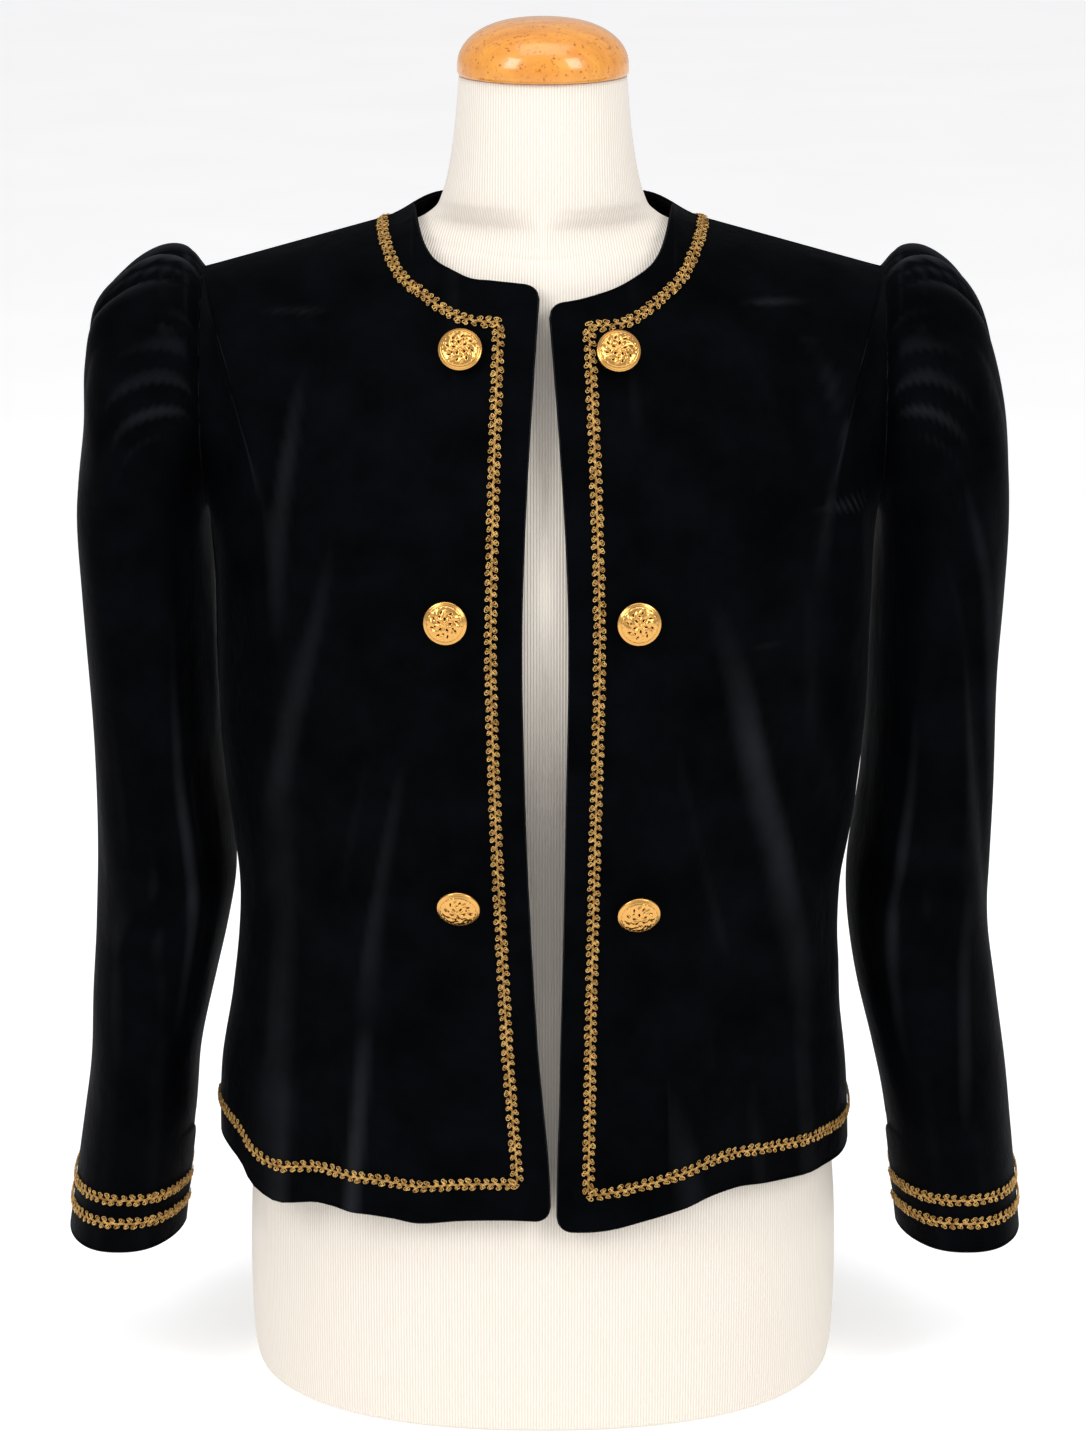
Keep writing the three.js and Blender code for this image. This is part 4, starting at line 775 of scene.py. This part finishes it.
def gimp_braid(name, path, cad_node):
    """Lays two looped cords and a twisted pair of thin ones along a path on the cloth. The loops follow
    across = reach sin(a), along = pitch a / 2 pi + back sin(2 a), each a little uneven."""
    points, normals, at = even_path(*path)
    runs = np.gradient(points, axis=0)
    length = at[-1] - 2 * loop_back
    turns = max(int(length / loop_pitch), 1)

    def place(along, across, lift):
        """Points beside and above the path."""
        along = np.clip(along, 0, at[-1])
        centre, up, run = [between(along, at, part) for part in (points, normals, runs)]
        return centre + unit(np.cross(run, up)) * across[:, None] + up * lift[:, None], up

    a = np.linspace(0, 2 * pi * turns, turns * loop_steps + 1)
    parts = []
    for reach, start, higher in looped_cords:
        wander = np.sin(a * 0.37 + 3 * reach) + 0.7 * np.sin(a * 0.173 + reach)
        swing = 1 + 0.1 * wander + 0.07 * np.sin(a * 1.31)
        loop, loop_up = place(
            loop_back + length * a / a[-1] + loop_pitch * (start + 0.07 * wander)
            + loop_back * swing * np.sin(2 * a),
            reach * (1 + 0.1 * np.sin(a * 0.29 + reach)) * np.sin(a),
            braid_lift + higher + 0.4 * np.sin(2 * a) * np.sin(a) + 0.1 * np.cos(3 * a))
        parts.append(tube(loop, loop_up, loop_radius, 5))
    b = np.linspace(0, 2 * pi * turns, turns * core_steps + 1)
    for phase in (0, pi):
        core, core_up = place(loop_back + length * b / b[-1], core_reach * np.sin(b + phase),
                              braid_lift + core_lift + core_swing * np.cos(b + phase))
        parts.append(tube(core, core_up, core_radius, 4))
    faces, start = [], 0
    for part in parts:
        faces += [block + start for block in part[1]]
        start += len(part[0])
    points, uv = [np.concatenate([part[k] for part in parts]) for k in (0, 2)]
    made = add_mesh(name, points, faces, gimp, uv)
    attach(made, "root")
    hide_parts(cad_node)


for name in ("right", "left"):
    shares, rows = neck_line(name)
    down, along_hem = np.linspace(rows[-1], braid_row, front_steps), np.linspace(braid_column, 1, hem_steps)
    path = on_panel(panels[name],
                    np.concatenate([shares, np.full(front_steps, braid_column), along_hem]),
                    np.concatenate([rows, down, np.full(hem_steps, braid_row)]))
    gimp_braid("gimp_front_" + name, path, "braid_front_" + name)
path = on_panel(panels["back"], np.linspace(-1, 1, 2 * front_steps), np.full(2 * front_steps, braid_row))
gimp_braid("gimp_hem_back", path, "braid_hem_back")
shares, rows = neck_line("back")
path = on_panel(panels["back"], np.concatenate([-shares, shares[::-1]]), np.concatenate([rows, rows[::-1]]))
gimp_braid("gimp_neck_back", path, "braid_neck_back")
# Columns: row of braid on the cuff, its level. A row starts and ends just inside the vent's edges.
cuff_braids = (("upper", 122.7), ("lower", 109.3))
cuff_top, cuff_foot = sleeve_rings[-2, 1], sleeve_rings[-1, 1]
cuff_columns = np.linspace(0.6, sleeve_columns * 0.965, cuff_steps)
for name, laid in sleeves.items():
    for row, level in cuff_braids:
        ring = cuff_ring + (cuff_top - level) / (cuff_top - cuff_foot)
        rows = np.full(cuff_steps, np.interp(ring, laid["rings"], np.arange(len(laid["rings"]))))
        gimp_braid("gimp_cuff_%s_%s" % (name, row), on_grid(laid, cuff_columns, rows),
                   "braid_cuff_%s_%s" % (name, row))

# Buttons: six hollow domed buttons of gilt brass, pressed with a small flower in a ring of leaves, dots
# and pits on a stippled ground, each sewn on by a shank so that the lowest pair hangs nose-down.
button_radius, button_height, button_edge, button_sides = 12.3, 6.4, 3.0, 120
shank_radius, shank_height, long_shank, long_shank_droop = 1.6, 3.4, 6.0, 10
# Columns: how far in from the button's edge, level. The rim, from the dome to the back plate.
button_rim = np.array([(1.1, 3.1), (0.5, 3.0), (0.1, 2.6), (0, 2.0), (0.1, 1.4), (0.6, 0.6), (1.6, 0.1)])
# Columns: side, number, x, level, droop in degrees, turn of the pattern in degrees.
buttons = ((-1, 1, 46, 633, 0, 8), (-1, 2, 53, 490, 3, 31), (-1, 3, 47, 329, 24, 55),
           (1, 1, 41, 633, 0, 20), (1, 2, 52, 489, 3, 44), (1, 3, 52.5, 323, 22, 2))

brass, brass_nodes, brass_shader = material("gilt_brass", Metallic=1.0, Roughness=0.23)
brass_relief = node(brass_nodes, "Attribute", {}, attribute_name="relief").outputs["Fac"]
brass_place = node(brass_nodes, "TexCoord", {}).outputs["Object"]
brass_stipple = noise(brass_nodes, brass_place, 900.0, 3.0, 0.6)
# The colour follows the relief: near black in the pits and the groove near the edge, full gilt elsewhere.
brass_colour = blend_colours(brass_nodes, brass_relief, (0.010, 0.004, 0.001), (0.66, 0.355, 0.10), 0.22, 0.6)
brass_nodes.links.new(brass_colour, brass_shader.inputs["Base Color"])
bump(brass_nodes, brass_shader, brass_stipple, 0.00012, 0.25)


def button_dome(turn, height):
    """Points of a button on a shank of this height, with its pattern raised on the dome, and how far
    each point is out of a hollow. The foot of the shank is at the origin and +Z is the button's face."""
    across = np.linspace(0.25, button_radius - 1.5, 46)
    r, a = np.meshgrid(across, angles(button_sides), indexing="ij")
    s, b = r / button_radius, a + turn
    dome = button_height - (button_height - button_edge) * s**2.3
    petal, leaf = np.cos(5 * b), np.cos(8 * b + 7 * s)
    boss = bell(s, 0.08) * 0.5
    petals = bell(s - 0.25, 0.13) * np.maximum(petal, 0)**0.6 * 0.7
    leaves = bell(s - 0.57, 0.12) * np.maximum(leaf, 0)**0.8 * 0.6
    dots = bell(s - 0.8, 0.03) * np.maximum(np.cos(24 * b), 0) * 0.35
    pits = (bell(s - 0.27, 0.075) * np.maximum(-petal, 0)**5
            + bell(s - 0.57, 0.07) * np.maximum(-leaf, 0)**8
            + bell(s - 0.43, 0.03) * np.maximum(petal, 0)**6) * 1.1
    raised, ground = boss + petals + leaves + dots - pits, 0.22 * bell(s - 0.84, 0.03)
    face = np.stack([r * np.cos(a), r * np.sin(a), height + dome + raised - ground], -1)
    relief = np.clip(0.7 + raised * 0.8 - ground, 0, 1)
    rest = np.concatenate([(button_radius, 0) + button_rim * (-1, 1), [
        (button_radius * 0.6, 0), (shank_radius + 0.3, 0), (shank_radius, -0.3), (shank_radius, -height),
        (shank_radius * 0.5, -height)]])
    grid = np.concatenate([face, turned(rest + (0, height), button_sides)])
    points, faces = closed(grid, [(0, 0, height + button_height + 0.6), (0, 0, 0)], True)
    return points, faces, np.concatenate([relief.ravel(), np.full(len(rest) * button_sides, 0.75), [1, 0.5]])


for side, number, x, level, droop, pattern_turn in buttons:
    name = "right" if side < 0 else "left"
    laid = panels[name]
    off = np.hypot(np.abs(laid["grid"][..., 0]) - x, laid["grid"][..., 2] - level)
    j, i = np.unravel_index(off.argmin(), off.shape)
    normal = Vector(laid["normals"][j, i])
    axis = Matrix.Rotation(radians(droop), 3, "X") @ normal
    facing = np.array(Vector((0, 0, 1)).rotation_difference(axis).to_matrix())
    points, faces, ridge_sheen_and_hollow_tone = button_dome(
        radians(pattern_turn), long_shank if droop > long_shank_droop else shank_height)
    foot = laid["grid"][j, i] + np.array(normal) * (seam + np.sin(axis.angle(normal)) * button_edge)
    piece = add_mesh("button_%s_%d_gilt" % (name, number), points @ facing.T + foot, faces, brass)
    piece.data.attributes.new("relief", "FLOAT", "POINT").data.foreach_set("value", ridge_sheen_and_hollow_tone.astype(np.float32))
    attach(piece, "root")
    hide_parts("button_%s_%d" % (name, number))

# Studio. A wide pale floor whose paper glows a little, two tall softboxes at the upper left and right,
# a wide soft light from above the camera, and a pale sky.
stage_paint, stage_nodes, stage_shader = material(
    "studio_paper", Roughness=0.9, Specular_IOR_Level=0.1, Emission_Color=(1, 1, 1, 1),
    Emission_Strength=0.36)
stage_grain = noise(stage_nodes, node(stage_nodes, "TexCoord", {}).outputs["Object"], 3.0)
stage_colour = blend_colours(stage_nodes, stage_grain, (0.90, 0.90, 0.90), (0.93, 0.93, 0.93))
stage_nodes.links.new(stage_colour, stage_shader.inputs["Base Color"])
floor_reach = 16000
floor_line = np.array([-floor_reach, floor_reach])
floor_grid = np.stack([*np.meshgrid(floor_line, floor_line), np.zeros((2, 2))], -1)
floor_faces = [cells(np.arange(4).reshape(2, 2))]
floor = add_mesh("studio_floor", floor_grid.reshape(-1, 3), floor_faces, stage_paint)

# Columns: name, place, size across and up, power in watts. Places and sizes are in metres.
soft_lights = (("softbox_left", (-1.7, -1.7, 1.9), (0.8, 1.5), 30),
               ("softbox_right", (1.7, -1.7, 1.9), (0.8, 1.5), 28),
               ("soft_top", (0, -0.6, 2.9), (2.0, 1.4), 19))
lights_aim = Vector((0, 0, 0.42))
for name, place, (across, up), power in soft_lights:
    lamp = bpy.data.lights.new(name, "AREA")
    lamp.shape, lamp.size, lamp.size_y, lamp.energy = "RECTANGLE", across, up, power
    holder = bpy.data.objects.new(name, lamp)
    holder.location = place
    holder.rotation_euler = (lights_aim - holder.location).to_track_quat("-Z", "Y").to_euler()
    bpy.context.scene.collection.objects.link(holder)
sky = bpy.data.worlds.new("studio_sky")
sky.use_nodes = True
sky_light = sky.node_tree.nodes["Background"].inputs
sky_light["Color"].default_value, sky_light["Strength"].default_value = (0.98, 0.98, 1.0, 1), 0.6
bpy.context.scene.world = sky
bpy.context.scene.view_settings.view_transform = "Standard"

# Camera: at the photograph's place, 2.4 m in front and 15 degrees above, with a long lens.
camera_place, camera_down, camera_lens = (0, -2.4, 1.043), 15.06, 105.17
lens = bpy.data.cameras.new("camera")
lens.lens, lens.sensor_width = camera_lens, 36
camera = bpy.data.objects.new("camera", lens)
camera.location = camera_place
camera.rotation_euler = (radians(90 - camera_down), 0, 0)
bpy.context.scene.collection.objects.link(camera)
bpy.context.scene.camera = camera
